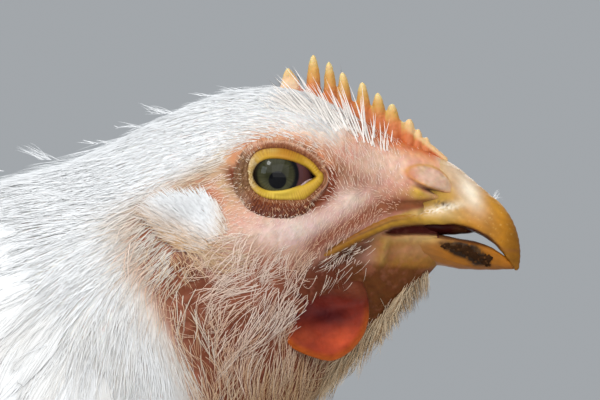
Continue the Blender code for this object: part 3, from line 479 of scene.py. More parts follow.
def feather_colour(points):
    """Colour of the feathers, from their roots' place, with painted shade in patches over the lower neck."""
    x, z = from_eyes(points)
    near = (1 - inside(x, z, FUR, 10.0)) * step(-50, -30, x) * step(-74, -60, z)
    tuft = np.clip(0.5 + 1.1 * ripple(points, 4.5, 72), 0, 1)
    # Painted shade: patches of the lower neck's feathers are made greyer.
    lower_neck_shade = bump(x, z, -34, -38, 20, 18) * step(-0.5, 0.6, ripple(points, 6.0, 73))
    colour = layered(
        plain(WHITE, len(points)),
        ((0.70, 0.54, 0.41), 0.8 * inside(x, z, BARE_CHEEK, 7.0)),
        ((0.42, 0.28, 0.18), 0.9 * near * (1 - tuft)),
        ((0.66, 0.57, 0.47), 0.8 * near * tuft),
        ((0.56, 0.38, 0.22), 0.85 * bump(x, z, -15.0, -0.8, 9.5, 2.4, 28)),
        ((0.60, 0.55, 0.48), 0.6 * lower_neck_shade),
    )
    colour *= 1 + 0.02 * ripple(points, 14.0, 9)[:, None]
    return np.clip(colour, 0.01, 0.93)


# materials
def set_inputs(node, inputs):
    for key, value in inputs.items():
        node.inputs[key.replace("_", " ")].default_value = value
    return node


def shader(name, roughness, **inputs):
    """A material that takes its colour from the mesh."""
    made = bpy.data.materials.new(name)
    made.use_nodes = True
    nodes, links = made.node_tree.nodes, made.node_tree.links
    principled = set_inputs(nodes["Principled BSDF"], {"Roughness": roughness, **inputs})
    colour = nodes.new("ShaderNodeVertexColor")
    colour.layer_name = "Col"
    links.new(colour.outputs["Color"], principled.inputs["Base Color"])
    return made


def add_grain(material, scale, strength, distance, spots=0.0, spot_colour=None, voronoi=False):
    """Bump from noise in the object's own space, and fine spots of another colour."""
    nodes, links = material.node_tree.nodes, material.node_tree.links
    principled = nodes["Principled BSDF"]
    place = nodes.new("ShaderNodeTexCoord")

    def noise_node(kind, **inputs):
        made = set_inputs(nodes.new("ShaderNodeTex" + kind), inputs)
        links.new(place.outputs["Object"], made.inputs["Vector"])
        return made

    if voronoi:
        noise = noise_node("Voronoi", Scale=scale)
        noise.feature = "SMOOTH_F1"
        height = noise.outputs["Distance"]
    else:
        height = noise_node("Noise", Scale=scale, Detail=4.0).outputs["Fac"]
    rise = set_inputs(nodes.new("ShaderNodeBump"), {"Strength": strength, "Distance": distance})
    links.new(height, rise.inputs["Height"])
    links.new(rise.outputs["Normal"], principled.inputs["Normal"])
    if spots:
        more = noise_node("Noise", Scale=scale * 0.6, Detail=6.0)
        ramp = nodes.new("ShaderNodeValToRGB")
        ramp.color_ramp.elements[0].position = 0.52
        ramp.color_ramp.elements[1].position = 0.68
        links.new(more.outputs["Fac"], ramp.inputs["Fac"])
        fade = nodes.new("ShaderNodeMath")
        fade.operation = "MULTIPLY"
        fade.inputs[1].default_value = spots
        links.new(ramp.outputs["Color"], fade.inputs[0])
        mix = nodes.new("ShaderNodeMix")
        mix.data_type = "RGBA"
        links.new(fade.outputs[0], mix.inputs["Factor"])
        links.new(nodes["Color Attribute"].outputs["Color"], mix.inputs[6])
        mix.inputs[7].default_value = (*spot_colour, 1.0)
        links.new(mix.outputs[2], principled.inputs["Base Color"])
    return material


SKIN = add_grain(
    shader(
        "skin", 0.6, Subsurface_Weight=0.10, Subsurface_Radius=(1.0, 0.3, 0.15), Subsurface_Scale=0.0012,
        Specular_IOR_Level=0.10,
    ),
    900, 0.45, 0.0004, voronoi=True, spots=0.2, spot_colour=(0.50, 0.18, 0.12),
)
FEATHER = shader("feather", 0.8, Sheen_Weight=0.12, Specular_IOR_Level=0.15)
BRISTLE = shader("bristle", 0.6, Specular_IOR_Level=0.2)
HORN = add_grain(
    shader(
        "horn", 0.40, Subsurface_Weight=0.05, Subsurface_Radius=(1.0, 0.4, 0.1), Subsurface_Scale=0.001,
        Coat_Weight=0.02, Coat_Roughness=0.2, Specular_IOR_Level=0.14,
    ),
    260, 0.25, 0.0003, spots=0.3, spot_colour=(0.26, 0.12, 0.03),
)
COMB = add_grain(
    shader(
        "comb_flesh", 0.5, Subsurface_Weight=0.22, Subsurface_Radius=(1.0, 0.25, 0.08),
        Subsurface_Scale=0.002, Specular_IOR_Level=0.3,
    ),
    1300, 0.4, 0.0002, voronoi=True,
)
WATTLE = add_grain(
    shader(
        "wattle_flesh", 0.6, Subsurface_Weight=0.05, Subsurface_Radius=(1.0, 0.15, 0.05),
        Subsurface_Scale=0.001, Specular_IOR_Level=0.12,
    ),
    1500, 0.35, 0.0002, voronoi=True,
)
WET = add_grain(
    shader("wet_lid", 0.5, Coat_Weight=0.04, Coat_Roughness=0.2, Specular_IOR_Level=0.2),
    1400, 0.3, 0.0002,
)
EYE = shader("eyeball", 0.04, Specular_IOR_Level=0.17)
SOIL = add_grain(shader("soil", 0.9, Specular_IOR_Level=0.1), 2500, 0.5, 0.0002)
SCALE = add_grain(
    shader("leg_scales", 0.45, Coat_Weight=0.05), 500, 0.35, 0.0003, spots=0.3, spot_colour=(0.35, 0.19, 0.07)
)


# mesh making
def dress(obj, colours, material, stands_for):
    """Vertex colours and material of a piece, and its marks in the frame."""
    mesh = obj.data
    layer = mesh.color_attributes.new("Col", "FLOAT_COLOR", "POINT")
    rgba = np.ones((len(mesh.vertices), 4), np.float32)
    rgba[:, :3] = colours
    layer.data.foreach_set("color", rgba.ravel())
    mesh.polygons.foreach_set("use_smooth", np.ones(len(mesh.polygons), bool))
    mesh.materials.clear()
    mesh.materials.append(material)
    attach(obj, "root")
    if stands_for:
        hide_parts(*stands_for)


def link(name, data):
    obj = bpy.data.objects.new(name, data)
    bpy.context.scene.collection.objects.link(obj)
    return obj


def make_object(
    name, points, faces, material, colours, uvs=None, stands_for=(), normals=None,
):
    """An object from arrays. faces is a list of arrays of 3 or 4 columns."""
    mesh = bpy.data.meshes.new(name)
    points = np.asarray(points, np.float32) * MM
    points[:, 2] = np.maximum(points[:, 2], LOWEST * MM)
    mesh.vertices.add(len(points))
    mesh.vertices.foreach_set("co", points.ravel())
    faces = [np.asarray(f) for f in faces if len(f)]
    loops = np.concatenate([f.ravel() for f in faces]).astype(np.int32)
    sizes = np.concatenate([np.full(len(f), f.shape[1]) for f in faces]).astype(np.int32)
    mesh.loops.add(len(loops))
    mesh.loops.foreach_set("vertex_index", loops)
    mesh.polygons.add(len(sizes))
    starts = np.concatenate([[0], np.cumsum(sizes)[:-1]]).astype(np.int32)
    mesh.polygons.foreach_set("loop_start", starts)
    mesh.polygons.foreach_set("loop_total", sizes)
    mesh.update(calc_edges=True)
    mesh.polygons.foreach_set("use_smooth", np.ones(len(sizes), bool))
    if normals is not None:
        mesh.normals_split_custom_set_from_vertices(unit(normals, TINY).tolist())
    if uvs is not None:
        uv = mesh.uv_layers.new(name="OFBake")
        uv.data.foreach_set("uv", np.asarray(uvs, np.float32)[loops].ravel())
    obj = link(name, mesh)
    dress(obj, colours, material, stands_for)
    return obj


def grid_faces(rows, columns, wrap=True, first=0):
    r, c = np.meshgrid(np.arange(rows - 1), np.arange(columns if wrap else columns - 1), indexing="ij")
    a = r * columns + c
    b = r * columns + (c + 1) % columns
    return first + np.stack([a, b, b + columns, a + columns], axis=-1).reshape(-1, 4)


def facing_out(points, faces):
    """Faces (n, f, 3) of closed pieces with points (n, p, 3), turned to face outwards."""
    n = len(points)
    moved = points - points.mean(axis=1)[:, None]
    corners = moved[np.arange(n)[:, None, None], np.broadcast_to(faces, (n, *faces.shape[-2:]))]
    volume = (corners[:, :, 0] * np.cross(corners[:, :, 1], corners[:, :, 2])).sum(axis=(1, 2))
    faces = np.where((volume < 0)[:, None, None], faces[..., ::-1], faces)
    return (faces + (np.arange(n) * points.shape[1])[:, None, None]).reshape(-1, 3)


def strands(paths, widths, up, flat=0.6, soft=0.65):
    """Closed, tapered, three-sided strands: points, faces, points in each, and normals
    that lean to up by soft, so that a coat shades as one surface. paths is (n, k, 3),
    widths (n, k), up (n, 3), and the last point of each path is its tip."""
    n, k = paths.shape[:2]
    side = unit(np.cross(paths[:, -1] - paths[:, 0], up), TINY)
    turns = np.array((math.pi / 2, math.pi * 7 / 6, math.pi * 11 / 6))
    across = side[:, None, None, :] * np.cos(turns)[None, None, :, None]
    raise_ = up[:, None, None, :] * (np.sin(turns) * flat)[None, None, :, None]
    rings = paths[:, :-1, None, :] + widths[:, :-1, None, None] / 2 * (across + raise_)
    count = 3 * (k - 1) + 1
    points = np.concatenate([rings.reshape(n, -1, 3), paths[:, -1:, :]], axis=1)
    out = (across + raise_) * (1 - soft) + up[:, None, None, :] * soft
    normals = np.concatenate([np.repeat(out, k - 1, axis=1).reshape(n, -1, 3), up[:, None, :]], axis=1)
    faces = []
    for r in range(k - 2):
        for c in range(3):
            a, b = 3 * r + c, 3 * r + (c + 1) % 3
            faces += [(a, b, b + 3), (a, b + 3, a + 3)]
    last = 3 * (k - 2)
    faces += [(last + c, last + (c + 1) % 3, count - 1) for c in range(3)]
    faces.append((2, 1, 0))
    faces = facing_out(points, np.array(faces)[None])
    return points.reshape(-1, 3), faces, count, normals.reshape(-1, 3)


def plates(centres, normals, thick):
    """Closed thin plates: points, faces, points in each, and normals. centres and
    normals are (n, rows, columns, 3)."""
    n, rows, columns = centres.shape[:3]
    top = (centres + normals * thick / 2).reshape(n, -1, 3)
    low = (centres - normals * thick / 2).reshape(n, -1, 3)
    points = np.concatenate([top, low], axis=1)
    outward = np.concatenate([normals.reshape(n, -1, 3), -normals.reshape(n, -1, 3)], axis=1)
    under = rows * columns
    faces = []
    for r in range(rows - 1):
        for c in range(columns - 1):
            a, b = r * columns + c, r * columns + c + 1
            d, e = a + columns, b + columns
            for one in ((a, b, e), (a, e, d)):
                faces.append(one)
                faces.append(tuple(under + v for v in reversed(one)))
    rim = [(0, c) for c in range(columns)] + [(r, columns - 1) for r in range(1, rows)]
    rim += [(rows - 1, c) for c in range(columns - 2, -1, -1)] + [(r, 0) for r in range(rows - 2, 0, -1)]
    for (r0, c0), (r1, c1) in zip(rim, rim[1:] + rim[:1]):
        a, b = r0 * columns + c0, r1 * columns + c1
        faces += [(b, a, under + a), (b, under + a, under + b)]
    faces = facing_out(points, np.array(faces)[None])
    return points.reshape(-1, 3), faces, 2 * under, outward.reshape(-1, 3)


def tapered(width, f, count, shrink=0.8):
    """Widths of strands that thin out towards their tips."""
    return width * (1 - shrink * f**1.5)[None] * rng.uniform(0.75, 1.2, (count, 1))


def rays(base, way, length, f):
    """Straight paths from roots along ways."""
    return base[:, None] + way[:, None] * (length[:, None] * f)[..., None]


class Coat:
    """Gathers many small closed pieces, and makes them one object."""

    def __init__(self, name, slot="feather"):
        self.name, self.slot = name, slot
        self.points, self.faces, self.uvs, self.colours, self.normals = [], [], [], [], []
        self.total = 0

    def add(self, made, uv, colours, shades=None):
        """made is what strands or plates gives, uv each piece's root (n, 2), and
        colours (n, 3)."""
        points, faces, count, normals = made
        angle = around(count)
        patch = 0.0015 * np.stack([np.cos(angle), np.sin(angle)], axis=1)
        self.uvs.append((uv[:, None, :] + patch[None]).reshape(-1, 2))
        colours = np.repeat(colours, count, axis=0)
        if shades is not None:
            colours = colours * np.tile(shades, len(uv))[:, None]
        self.colours.append(colours)
        self.points.append(points)
        self.faces.append(faces + self.total)
        self.normals.append(normals)
        self.total += len(points)

    def finish(self, material):
        return make_object(
            self.name, np.concatenate(self.points), [np.concatenate(self.faces)], material,
            np.clip(np.concatenate(self.colours), 0.005, 0.95), np.clip(np.concatenate(self.uvs), 0.0, 1.0),
            normals=np.concatenate(self.normals),
        )


# where feathers grow
def seed_places(spacing, t_low, t_high, jitter=0.38):
    """Even, jittered places over the body between two stations."""
    found_t, found_a = [], []
    t = t_low
    turn = 0.0
    a = np.linspace(0, 2 * math.pi, 241)
    probe = np.array((0.0, 2.0))
    while t < t_high:
        ring = surface(np.full(len(a), t), a)
        arc = np.concatenate([[0], np.cumsum(np.linalg.norm(np.diff(ring, axis=0), axis=1))])
        count = max(int(arc[-1] / spacing), 6)
        turn += 0.5
        at = (np.arange(count) + turn % 1 + rng.uniform(-jitter, jitter, count)) % count / count * arc[-1]
        here = np.full(2, t)
        moved = np.linalg.norm(surface(here + 0.02, probe) - surface(here, probe), axis=1).mean() / 0.02
        move = spacing * 0.87 / moved
        found_t.append(np.clip(t + rng.uniform(-jitter, jitter, count) * move, 0.0, LAST - 0.05))
        found_a.append(np.interp(at, arc, a))
        t += move
    return np.concatenate(found_t), np.concatenate(found_a)


def uv_of(t, a):
    return np.stack([0.02 + 0.96 * t / LAST, 0.02 + 0.96 * (a % (2 * math.pi)) / (2 * math.pi)], axis=1)


def side_uv(t, side, left, right, more=0.0):
    """The place in the UV map of pieces at station t, at one angle for each side."""
    return uv_of(t + 0.0 * more, (left if side > 0 else right) + more)


def in_skin(way, normal, least=0.0):
    """Directions turned to run along the skin."""
    return unit(way - normal * (way * normal).sum(axis=1)[:, None], least)


class Bed:
    """Where feathers root, and how distances along and across them map to the body."""

    def __init__(self, t, a, spread):
        self.t, self.a = t, a
        self.at, self.normal, along, round_, self.long_t, self.long_a = frame_at(t, a)
        x, z = from_eyes(self.at)
        away = (x[:, None] - LIE[None, :, 0]) ** 2 + (z[:, None] - LIE[None, :, 1]) ** 2
        weight = 1 / (away + 3.0) ** 1.8
        angle = np.radians(LIE[:, 2])
        go = np.stack([weight @ np.cos(angle), 0 * x, weight @ np.sin(angle)], axis=1)
        go = in_skin(go, self.normal, TINY)
        head = step(-85.0, -50.0, x)[:, None]
        go = go * head + along * (1 - head)
        across = np.cross(self.normal, go)
        turn = np.radians(rng.normal(0, 1, len(t)) * spread)[:, None]
        go, across = go * np.cos(turn) + across * np.sin(turn), across * np.cos(turn) - go * np.sin(turn)
        skew = (along * round_).sum(axis=1)

        def parts(way):
            on_along, on_round = (way * along).sum(axis=1), (way * round_).sum(axis=1)
            return (on_along - skew * on_round) / (1 - skew**2), (on_round - skew * on_along) / (1 - skew**2)

        self.go, self.across = parts(go), parts(across)

    def follow(self, p, q, height):
        """Points over the skin at p along a feather, q across it, and a height above."""
        n, k = p.shape
        tt = self.t[:, None] + (p * self.go[0][:, None] + q * self.across[0][:, None]) / self.long_t[:, None]
        aa = self.a[:, None] + (p * self.go[1][:, None] + q * self.across[1][:, None]) / self.long_a[:, None]
        over = np.maximum(tt - (LAST - 0.02), 0)
        tt = np.clip(tt, 0.0, LAST - 0.02)
        points = surface(tt.ravel(), aa.ravel(), lift=np.zeros(n * k)).reshape(n, k, 3)
        _, normal, back, _, long_t, _ = frame_at(tt.ravel(), aa.ravel())
        points += normal.reshape(n, k, 3) * height[:, :, None]
        points += back.reshape(n, k, 3) * (over * long_t.reshape(n, k))[:, :, None]
        return points, normal.reshape(n, k, 3)


def gather(paths, share, every):
    """Draws the tips of neighbouring strands together in wisps."""
    if share == 0 or len(paths) < every * 2:
        return paths
    leaders = rng.choice(len(paths), len(paths) // every, replace=False)
    nearest = np.zeros(len(paths), int)
    roots = paths[:, 0]
    for i in range(0, len(paths), 2000):
        away = ((roots[i : i + 2000, None] - roots[None, leaders]) ** 2).sum(axis=2)
        nearest[i : i + 2000] = away.argmin(axis=1)
    f = np.linspace(0, 1, paths.shape[1])[None, :, None]
    pull = share * rng.uniform(0.5, 1.0, len(paths))[:, None, None] * f**1.4
    return paths * (1 - pull) + paths[leaders][nearest] * pull


def hairs(
    coat, t, a, length, width, stand, spread, steps=4, colours=None, curl=0.15, wisps=0.0, every=7,
    soft=0.65, base=1.0,
):
    """Single hair-like feathers. stand is the height of the tips over the skin, spread
    how far in degrees they turn from the lie."""
    n = len(t)
    bed = Bed(t, a, spread)
    length = length * rng.uniform(0.65, 1.3, n)
    bend = rng.normal(0, curl, n)
    f = np.linspace(0, 1, steps)[None, :]
    go, off = length[:, None] * f, length[:, None] * bend[:, None] * f**2
    high = stand * rng.uniform(0.5, 1.4, n)[:, None] * (1 - (1 - f) ** 1.6) - 0.15 * (1 - f)
    paths, normals = bed.follow(go, off, high)
    paths = gather(paths, wisps, every)
    widths = width * rng.uniform(0.7, 1.25, n)[:, None] * (1 - 0.75 * f**1.5)
    widths[:, 0] *= base
    if colours is None:
        colours = feather_colour(bed.at)
    colours = colours * rng.uniform(0.94, 1.03, n)[:, None]
    coat.add(strands(paths, widths, normals[:, 0], soft=soft), uv_of(t, a), colours)


def vane(place, shares, spans, cup, thick):
    """Thin plates with three columns. spans are half widths (n, rows), and place puts
    distances along, across and above each root on the body."""
    n, rows = spans.shape
    columns = np.array((-1.0, 0.0, 1.0))
    off = (spans[..., None] * columns).reshape(n, -1)
    centres, normals = place(shares[None, :].repeat(n, 0), off, cup)
    return plates(centres.reshape(n, rows, 3, 3), normals.reshape(n, rows, 3, 3), thick)


def locks(coat, t, a, length, width, stand, spread, threads, thread):
    """Narrow pointed feathers: a thin vane under fine threads that part and meet again
    at the tip."""
    n = len(t)
    bed = Bed(t, a, spread)
    length = length * rng.uniform(0.75, 1.2, n)
    width = width * rng.uniform(0.8, 1.2, n)
    bend = rng.normal(0, 0.10, n)
    colours = feather_colour(bed.at) * rng.uniform(0.97, 1.02, n)[:, None]
    root_lift = rng.uniform(0.0, 0.35, n)
    tip_rise = rng.uniform(0.0, 0.5, n)

    def place(share, across, extra):
        off = across + (bend * length)[:, None] * share**2
        high = stand * (0.10 + 0.90 * share) + root_lift[:, None] + tip_rise[:, None] * share**3 + extra
        return bed.follow(share * length[:, None], off, high)

    def half_at(share):
        return np.sin(math.pi * np.clip(0.08 + 0.92 * share, 0, 1) ** 0.85) ** 0.8

    shares = np.array((0.02, 0.28, 0.52, 0.74, 0.90))
    cup = np.tile((-0.16, 0.0, -0.16), len(shares)) - 0.10
    half_spans = half_at(shares)[None, :] * width[:, None] * 0.42
    made = vane(place, np.repeat(shares, 3), half_spans, cup[None, :], 0.14)
    coat.add(made, uv_of(t, a), colours * 0.97)
    f = np.linspace(0, 1, 4)[None, :]
    for j in range(threads):
        lane = (j + 0.5) / threads * 2 - 1
        lane = np.clip(lane + rng.uniform(-0.12, 0.12, n), -1, 1)
        start = np.clip(0.28 * rng.uniform(0, 1, n) + 0.10 * np.abs(lane), 0, 0.6)
        end = 1.0 - 0.34 * np.abs(lane) ** 1.5 * rng.uniform(0.6, 1.1, n)
        share = start[:, None] + (end - start)[:, None] * f
        off = lane[:, None] * half_at(share) * width[:, None] / 2
        off = off + (rng.normal(0, 0.10, n) * width)[:, None] * f**3
        dip = (0.06 - 0.16 * np.abs(lane))[:, None] + rng.uniform(-0.05, 0.05, n)[:, None]
        paths, normals = place(share, off, dip)
        widths = thread * rng.uniform(0.75, 1.2, n)[:, None] * np.array((1.0, 1.0, 0.75, 0.2))[None]
        made = strands(paths, widths, normals[:, 2], 0.5, 0.75)
        coat.add(made, uv_of(t, a), colours * rng.uniform(0.97, 1.02, n)[:, None])


def vanes(coat, t, a, length, width, stand, spread, fringe=6, thick=0.2):
    """Body feathers: a cupped vane with a rounded end and loose barbs at its tip."""
    n = len(t)
    bed = Bed(t, a, spread)
    length = length * rng.uniform(0.85, 1.15, n)
    width = width * rng.uniform(0.85, 1.15, n)
    colours = feather_colour(bed.at) * rng.uniform(0.96, 1.03, n)[:, None]
    root_lift = rng.uniform(0.0, 0.5, n)

    def place(share, across, extra):
        high = stand * (0.05 + 0.95 * np.clip(share, 0, 1)) + root_lift[:, None] + extra
        return bed.follow(share * length[:, None], across + 0 * share, high)

    shares = np.repeat((0.0, 0.3, 0.6, 0.85, 1.0), 3) + np.tile((-0.03, 0.03, -0.03), 5)
    spans = np.array((0.3, 0.85, 1.0, 0.82, 0.35)) / 2
    cup = np.tile((-0.10, 0.06, -0.10), 5)[None, :] * width[:, None] * 0.3
    made = vane(place, shares, spans[None, :] * width[:, None], cup, thick)
    shades = np.concatenate([np.linspace(0.88, 1.0, 5).repeat(3)] * 2)
    coat.add(made, uv_of(t, a), colours, shades)
    for j in range(fringe):
        aim = (j + 0.5) / fringe * 2 - 1
        start = 0.66 + 0.30 * (1 - aim**2)
        go = start + np.array((0.0, 0.13, 0.26))[None, :] * rng.uniform(0.6, 1.3, n)[:, None]
        off = aim * width[:, None] * np.array((0.42, 0.42, 0.38))[None, :]
        paths, normals = place(go, off, 0.02)
        widths = np.tile(np.array((0.9, 0.6, 0.15)), (n, 1)) * (width / 10)[:, None]
        coat.add(strands(paths, widths, normals[:, 1], 0.4), uv_of(t, a), colours)


# the skin
def eye_pit(points):
    x, z = points[:, 0] - EYES_X - LID_X, points[:, 2] - EYES_Z - LID_Z
    z = z - math.tan(math.radians(LID_SLOPE)) * x
    return step(1.06, 0.86, np.hypot(x / (LID_LONG - 0.2), z / (LID_HIGH - 0.2)))


MOUTH_END = 31.2
# Dark red lining of the inside of the mouth, darkened further with painted shade.
MOUTH_DARK = (0.05, 0.008, 0.006)
MOUTH_SLIT = (
    (20.5, -10.9), (22.5, -9.9), (26.0, -9.3), (33.5, -9.2), (34.0, -11.4), (27.0, -11.1),
    (22.5, -11.2),
)


SKIN_COLUMNS = 296


def make_skin():
    """One skin for the head, neck and trunk, which dips into the bill at its front."""
    beyond = np.linspace(1.0, 0.0, 22, endpoint=False)
    face, nape, trunk = np.linspace(0, 5.2, 225), np.linspace(5.2, 8.0, 37)[1:], np.linspace(8, LAST, 41)[1:]
    t = np.concatenate([0 * beyond, face, nape, trunk])
    tt, aa = np.repeat(t, SKIN_COLUMNS), np.tile(around(SKIN_COLUMNS), len(t))
    ahead = np.concatenate([np.repeat(beyond, SKIN_COLUMNS), np.zeros((len(t) - len(beyond)) * SKIN_COLUMNS)])
    points = surface(tt, aa, lift=np.zeros(len(tt)), fine=True, ahead=ahead)
    x, z = from_eyes(points)

    def sink(depth, least):
        out = np.abs(points[:, 1]) > least
        points[:, 1] -= np.sign(points[:, 1]) * depth * out

    pit = np.where(np.abs(points[:, 1]) > 8, eye_pit(points), 0)
    sink(7.0 * pit, 0)
    sink(0.8 * step(1.0, 0.92, np.hypot((x - 1.05) / 9.3, (z + 0.5) / 7.2)) * (1 - pit), 8)
    sink(2.52 * step(26.8, 30.0, x) * step(-4.2, -5.8, z) * step(-10.0, -9.0, z), 2)
    slit = inside(x, z, MOUTH_SLIT, 0.7) * (np.abs(points[:, 1]) > 3)
    sink(3.5 * slit, 0)
    inner = (x > 30.8) & (z < -8.6) & (z > -12.9) & (np.abs(points[:, 1]) < 5.6)
    points[inner, 0] = np.minimum(points[inner, 0], EYES_X + MOUTH_END)
    # The sunk slit at the mouth's corner, the skin pushed into the mouth and the pit behind the eyeball are
    # coloured dark: painted shade in these hollows, over the mouth's dark red lining.
    colours = layered(skin_colour(points), ((0.10, 0.015, 0.012), slit), ((0.06, 0.03, 0.02), pit))
    colours[inner] = MOUTH_DARK
    points, faces = close_loft(points.reshape(len(t), SKIN_COLUMNS, 3))
    points[-2, 0] = min(points[-2, 0], EYES_X + MOUTH_END)
    colours = np.concatenate([colours, [MOUTH_DARK], colours[-1:]])
    uvs = np.concatenate([uv_of(tt, aa), [[0.01, 0.5]], [[0.99, 0.5]]])
    covered = ("head", "neck", "torso", "thigh_left", "thigh_right")
    skin = make_object("skin", points, faces, SKIN, colours, uvs, covered)
    made = bmesh.new()
    made.from_mesh(skin.data)
    bmesh.ops.recalc_face_normals(made, faces=made.faces)
    made.to_mesh(skin.data)
    made.free()


def search_tree(points, faces):
    return BVHTree.FromPolygons([tuple(p) for p in points], [tuple(f) for block in faces for f in block])


def outer_tree():
    """A search tree over the feathers' outer form, in millimetres."""
    t = np.concatenate([np.linspace(0, 8, 120), np.linspace(8, LAST, 140)[1:]])
    columns = 128
    points = surface(np.repeat(t, columns), np.tile(around(columns), len(t)))
    return search_tree(points, [grid_faces(len(t), columns)])


def side_points(tree, x, z, side, lift=0.0):
    """Points of one side of a form at world x and z, raised along its normals."""
    points, normals = np.zeros((len(x), 3)), np.zeros((len(x), 3))
    for i in range(len(x)):
        hit, normal, _, _ = tree.ray_cast(Vector((x[i], side * 400.0, z[i])), Vector((0, -side, 0)))
        if hit is None:
            hit, normal, _, _ = tree.find_nearest(Vector((x[i], side * 30.0, z[i])))
        if normal.y * side < 0:
            normal = -normal
        points[i], normals[i] = hit, normal
    return points + normals * np.reshape(lift, (-1, 1)), normals


# the head's own pieces
EYE_X, EYE_Z, EYE_RADIUS, EYE_DEEP, EYE_FRONT = 0.6, 0.1, 6.5, 5.4, 16.3


def eye_level(x, z):
    """How far out the eyeball reaches at a place, from the middle plane."""
    rho = np.hypot(x - EYE_X, z - EYE_Z)
    ball = EYE_DEEP * np.sqrt(np.clip(1 - (rho / EYE_RADIUS) ** 2, 0, 1))
    return EYE_FRONT - EYE_DEEP + ball + 0.5 * np.clip(1 - (rho / 4.7) ** 2, 0, None) ** 1.5


def make_eye(name, side):
    columns = 112
    share = np.concatenate([np.linspace(0.004, 0.72, 50), np.linspace(0.72, math.pi - 0.05, 14)[1:]])
    ss, aa = np.repeat(share, columns), np.tile(around(columns), len(share))
    rho = EYE_RADIUS * np.sin(ss)
    px, pz = rho * np.cos(aa), rho * np.sin(aa)
    y = np.where(ss < 1.5, eye_level(EYE_X + px, EYE_Z + pz), EYE_FRONT - EYE_DEEP + EYE_DEEP * np.cos(ss))
    ix, iz = px + 0.6, pz - 0.15
    r = np.hypot(ix, iz)
    ray = np.arctan2(iz, ix)
    fibre = 0.5 + 0.5 * np.sin(ray * 46 + 2.2 * np.sin(ray * 7) + r * 2.0)
    fibre = 0.6 * fibre + 0.4 * (0.5 + 0.5 * np.sin(ray * 23 + 5 * np.sin(ray * 3)))
    bright = step(1.4, 3.0, r) * step(1.5, -3.5, iz) * 0.8 + 0.2 * step(1.6, 2.6, r)
    iris = blend(np.array((0.020, 0.020, 0.008)), (0.064, 0.061, 0.028), bright)
    iris = iris * (0.70 + 0.55 * fibre)[:, None]
    colours = layered(
        iris,
        ((0.003, 0.003, 0.004), step(3.2, 3.9, r)),
        ((0.085, 0.032, 0.034), step(4.2, 4.6, r) * step(-1, 2, ix)),
        ((0.02, 0.01, 0.008), step(4.2, 4.5, r) * step(1, -2, ix)),
        ((0.001, 0.001, 0.002), step(1.78, 1.58, np.hypot(px + 0.31, pz + 0.88))),
    )
    points, faces = close_loft(world(EYE_X + px, side * y, EYE_Z + pz).reshape(len(share), columns, 3))
    colours = np.concatenate([colours, [(0.002, 0.002, 0.003)], [(0.1, 0.1, 0.1)]])
    make_object(name, points, faces, EYE, colours, None, (name,))


LID_EDGE = np.array(
    (
        (7.7, -0.3), (7.2, 0.5), (6.1, 1.6), (4.2, 2.6), (2.0, 3.25), (0.0, 3.5), (-1.9, 3.35), (-3.4, 2.6),
        (-4.3, 1.3), (-4.5, 0.1), (-4.2, -1.0), (-3.3, -2.1), (-1.6, -2.85), (0.4, -2.95), (2.5, -2.65),
        (4.5, -2.05), (6.3, -1.3),
    )
)
BAND_ROWS = (
    (-0.30, -1.6), (-0.22, -0.7), (-0.13, -0.15), (0.0, 0.22), (0.14, 0.48), (0.32, 0.60), (0.5, 0.62),
    (0.68, 0.56), (0.84, 0.44), (0.96, 0.26),
)
BEAD_ROWS = ((0.04, 0.10), (0.2, 0.26), (0.4, 0.34), (0.6, 0.28), (0.8, 0.12))
FOLD_ROWS = tuple(
    (share, 0.05 + 0.30 * math.sin(math.pi * min(share, 1.0) ** 0.8)) for share in np.linspace(0.06, 0.98, 20)
) + ((1.05, -0.35), (1.1, -1.3))


LID_STEPS = 390
LID_BAND = (range(0, 361, 45), (1.2, 1.6, 1.9, 1.8, 0.7, 1.3, 1.7, 2.6, 1.2))
LID_SKIN = (
    (0, 45, 90, 135, 180, 225, 270, 305, 328, 360), (0.35, 0.6, 0.9, 1.2, 2.0, 2.7, 2.9, 2.2, 0.5, 0.35)
)
BEAD_WIDTH = 0.62
ORANGE, CREAM, BROWN = (0.74, 0.46, 0.28), (0.84, 0.68, 0.52), (0.26, 0.08, 0.03)
# Bristles round the eye: row of the lid, count, between which angles, lengths, colour. The brown rows are
# dark lashes that also stand in as painted shade between the pale ones.
LASH_ROWS = (
    (11, 34, 205, 345, 0.6, 1.1, ORANGE), (15, 44, 200, 345, 0.6, 1.1, ORANGE),
    (21, 34, 200, 340, 0.5, 1.0, ORANGE), (28, 26, 205, 335, 0.7, 1.3, ORANGE),
    (33, 30, 200, 330, 0.8, 1.5, CREAM), (12, 16, 125, 160, 0.5, 1.0, CREAM),
    (22, 26, 100, 205, 0.5, 1.0, CREAM), (30, 26, 110, 215, 0.7, 1.4, CREAM),
    (12, 130, 5, 125, 0.6, 1.2, BROWN), (16, 60, 0, 130, 0.6, 1.2, ORANGE),
    (32, 50, 5, 120, 0.8, 1.5, CREAM), (26, 46, 120, 215, 0.8, 1.6, BROWN),
    (9, 80, 10, 120, 0.4, 0.8, BROWN),
)


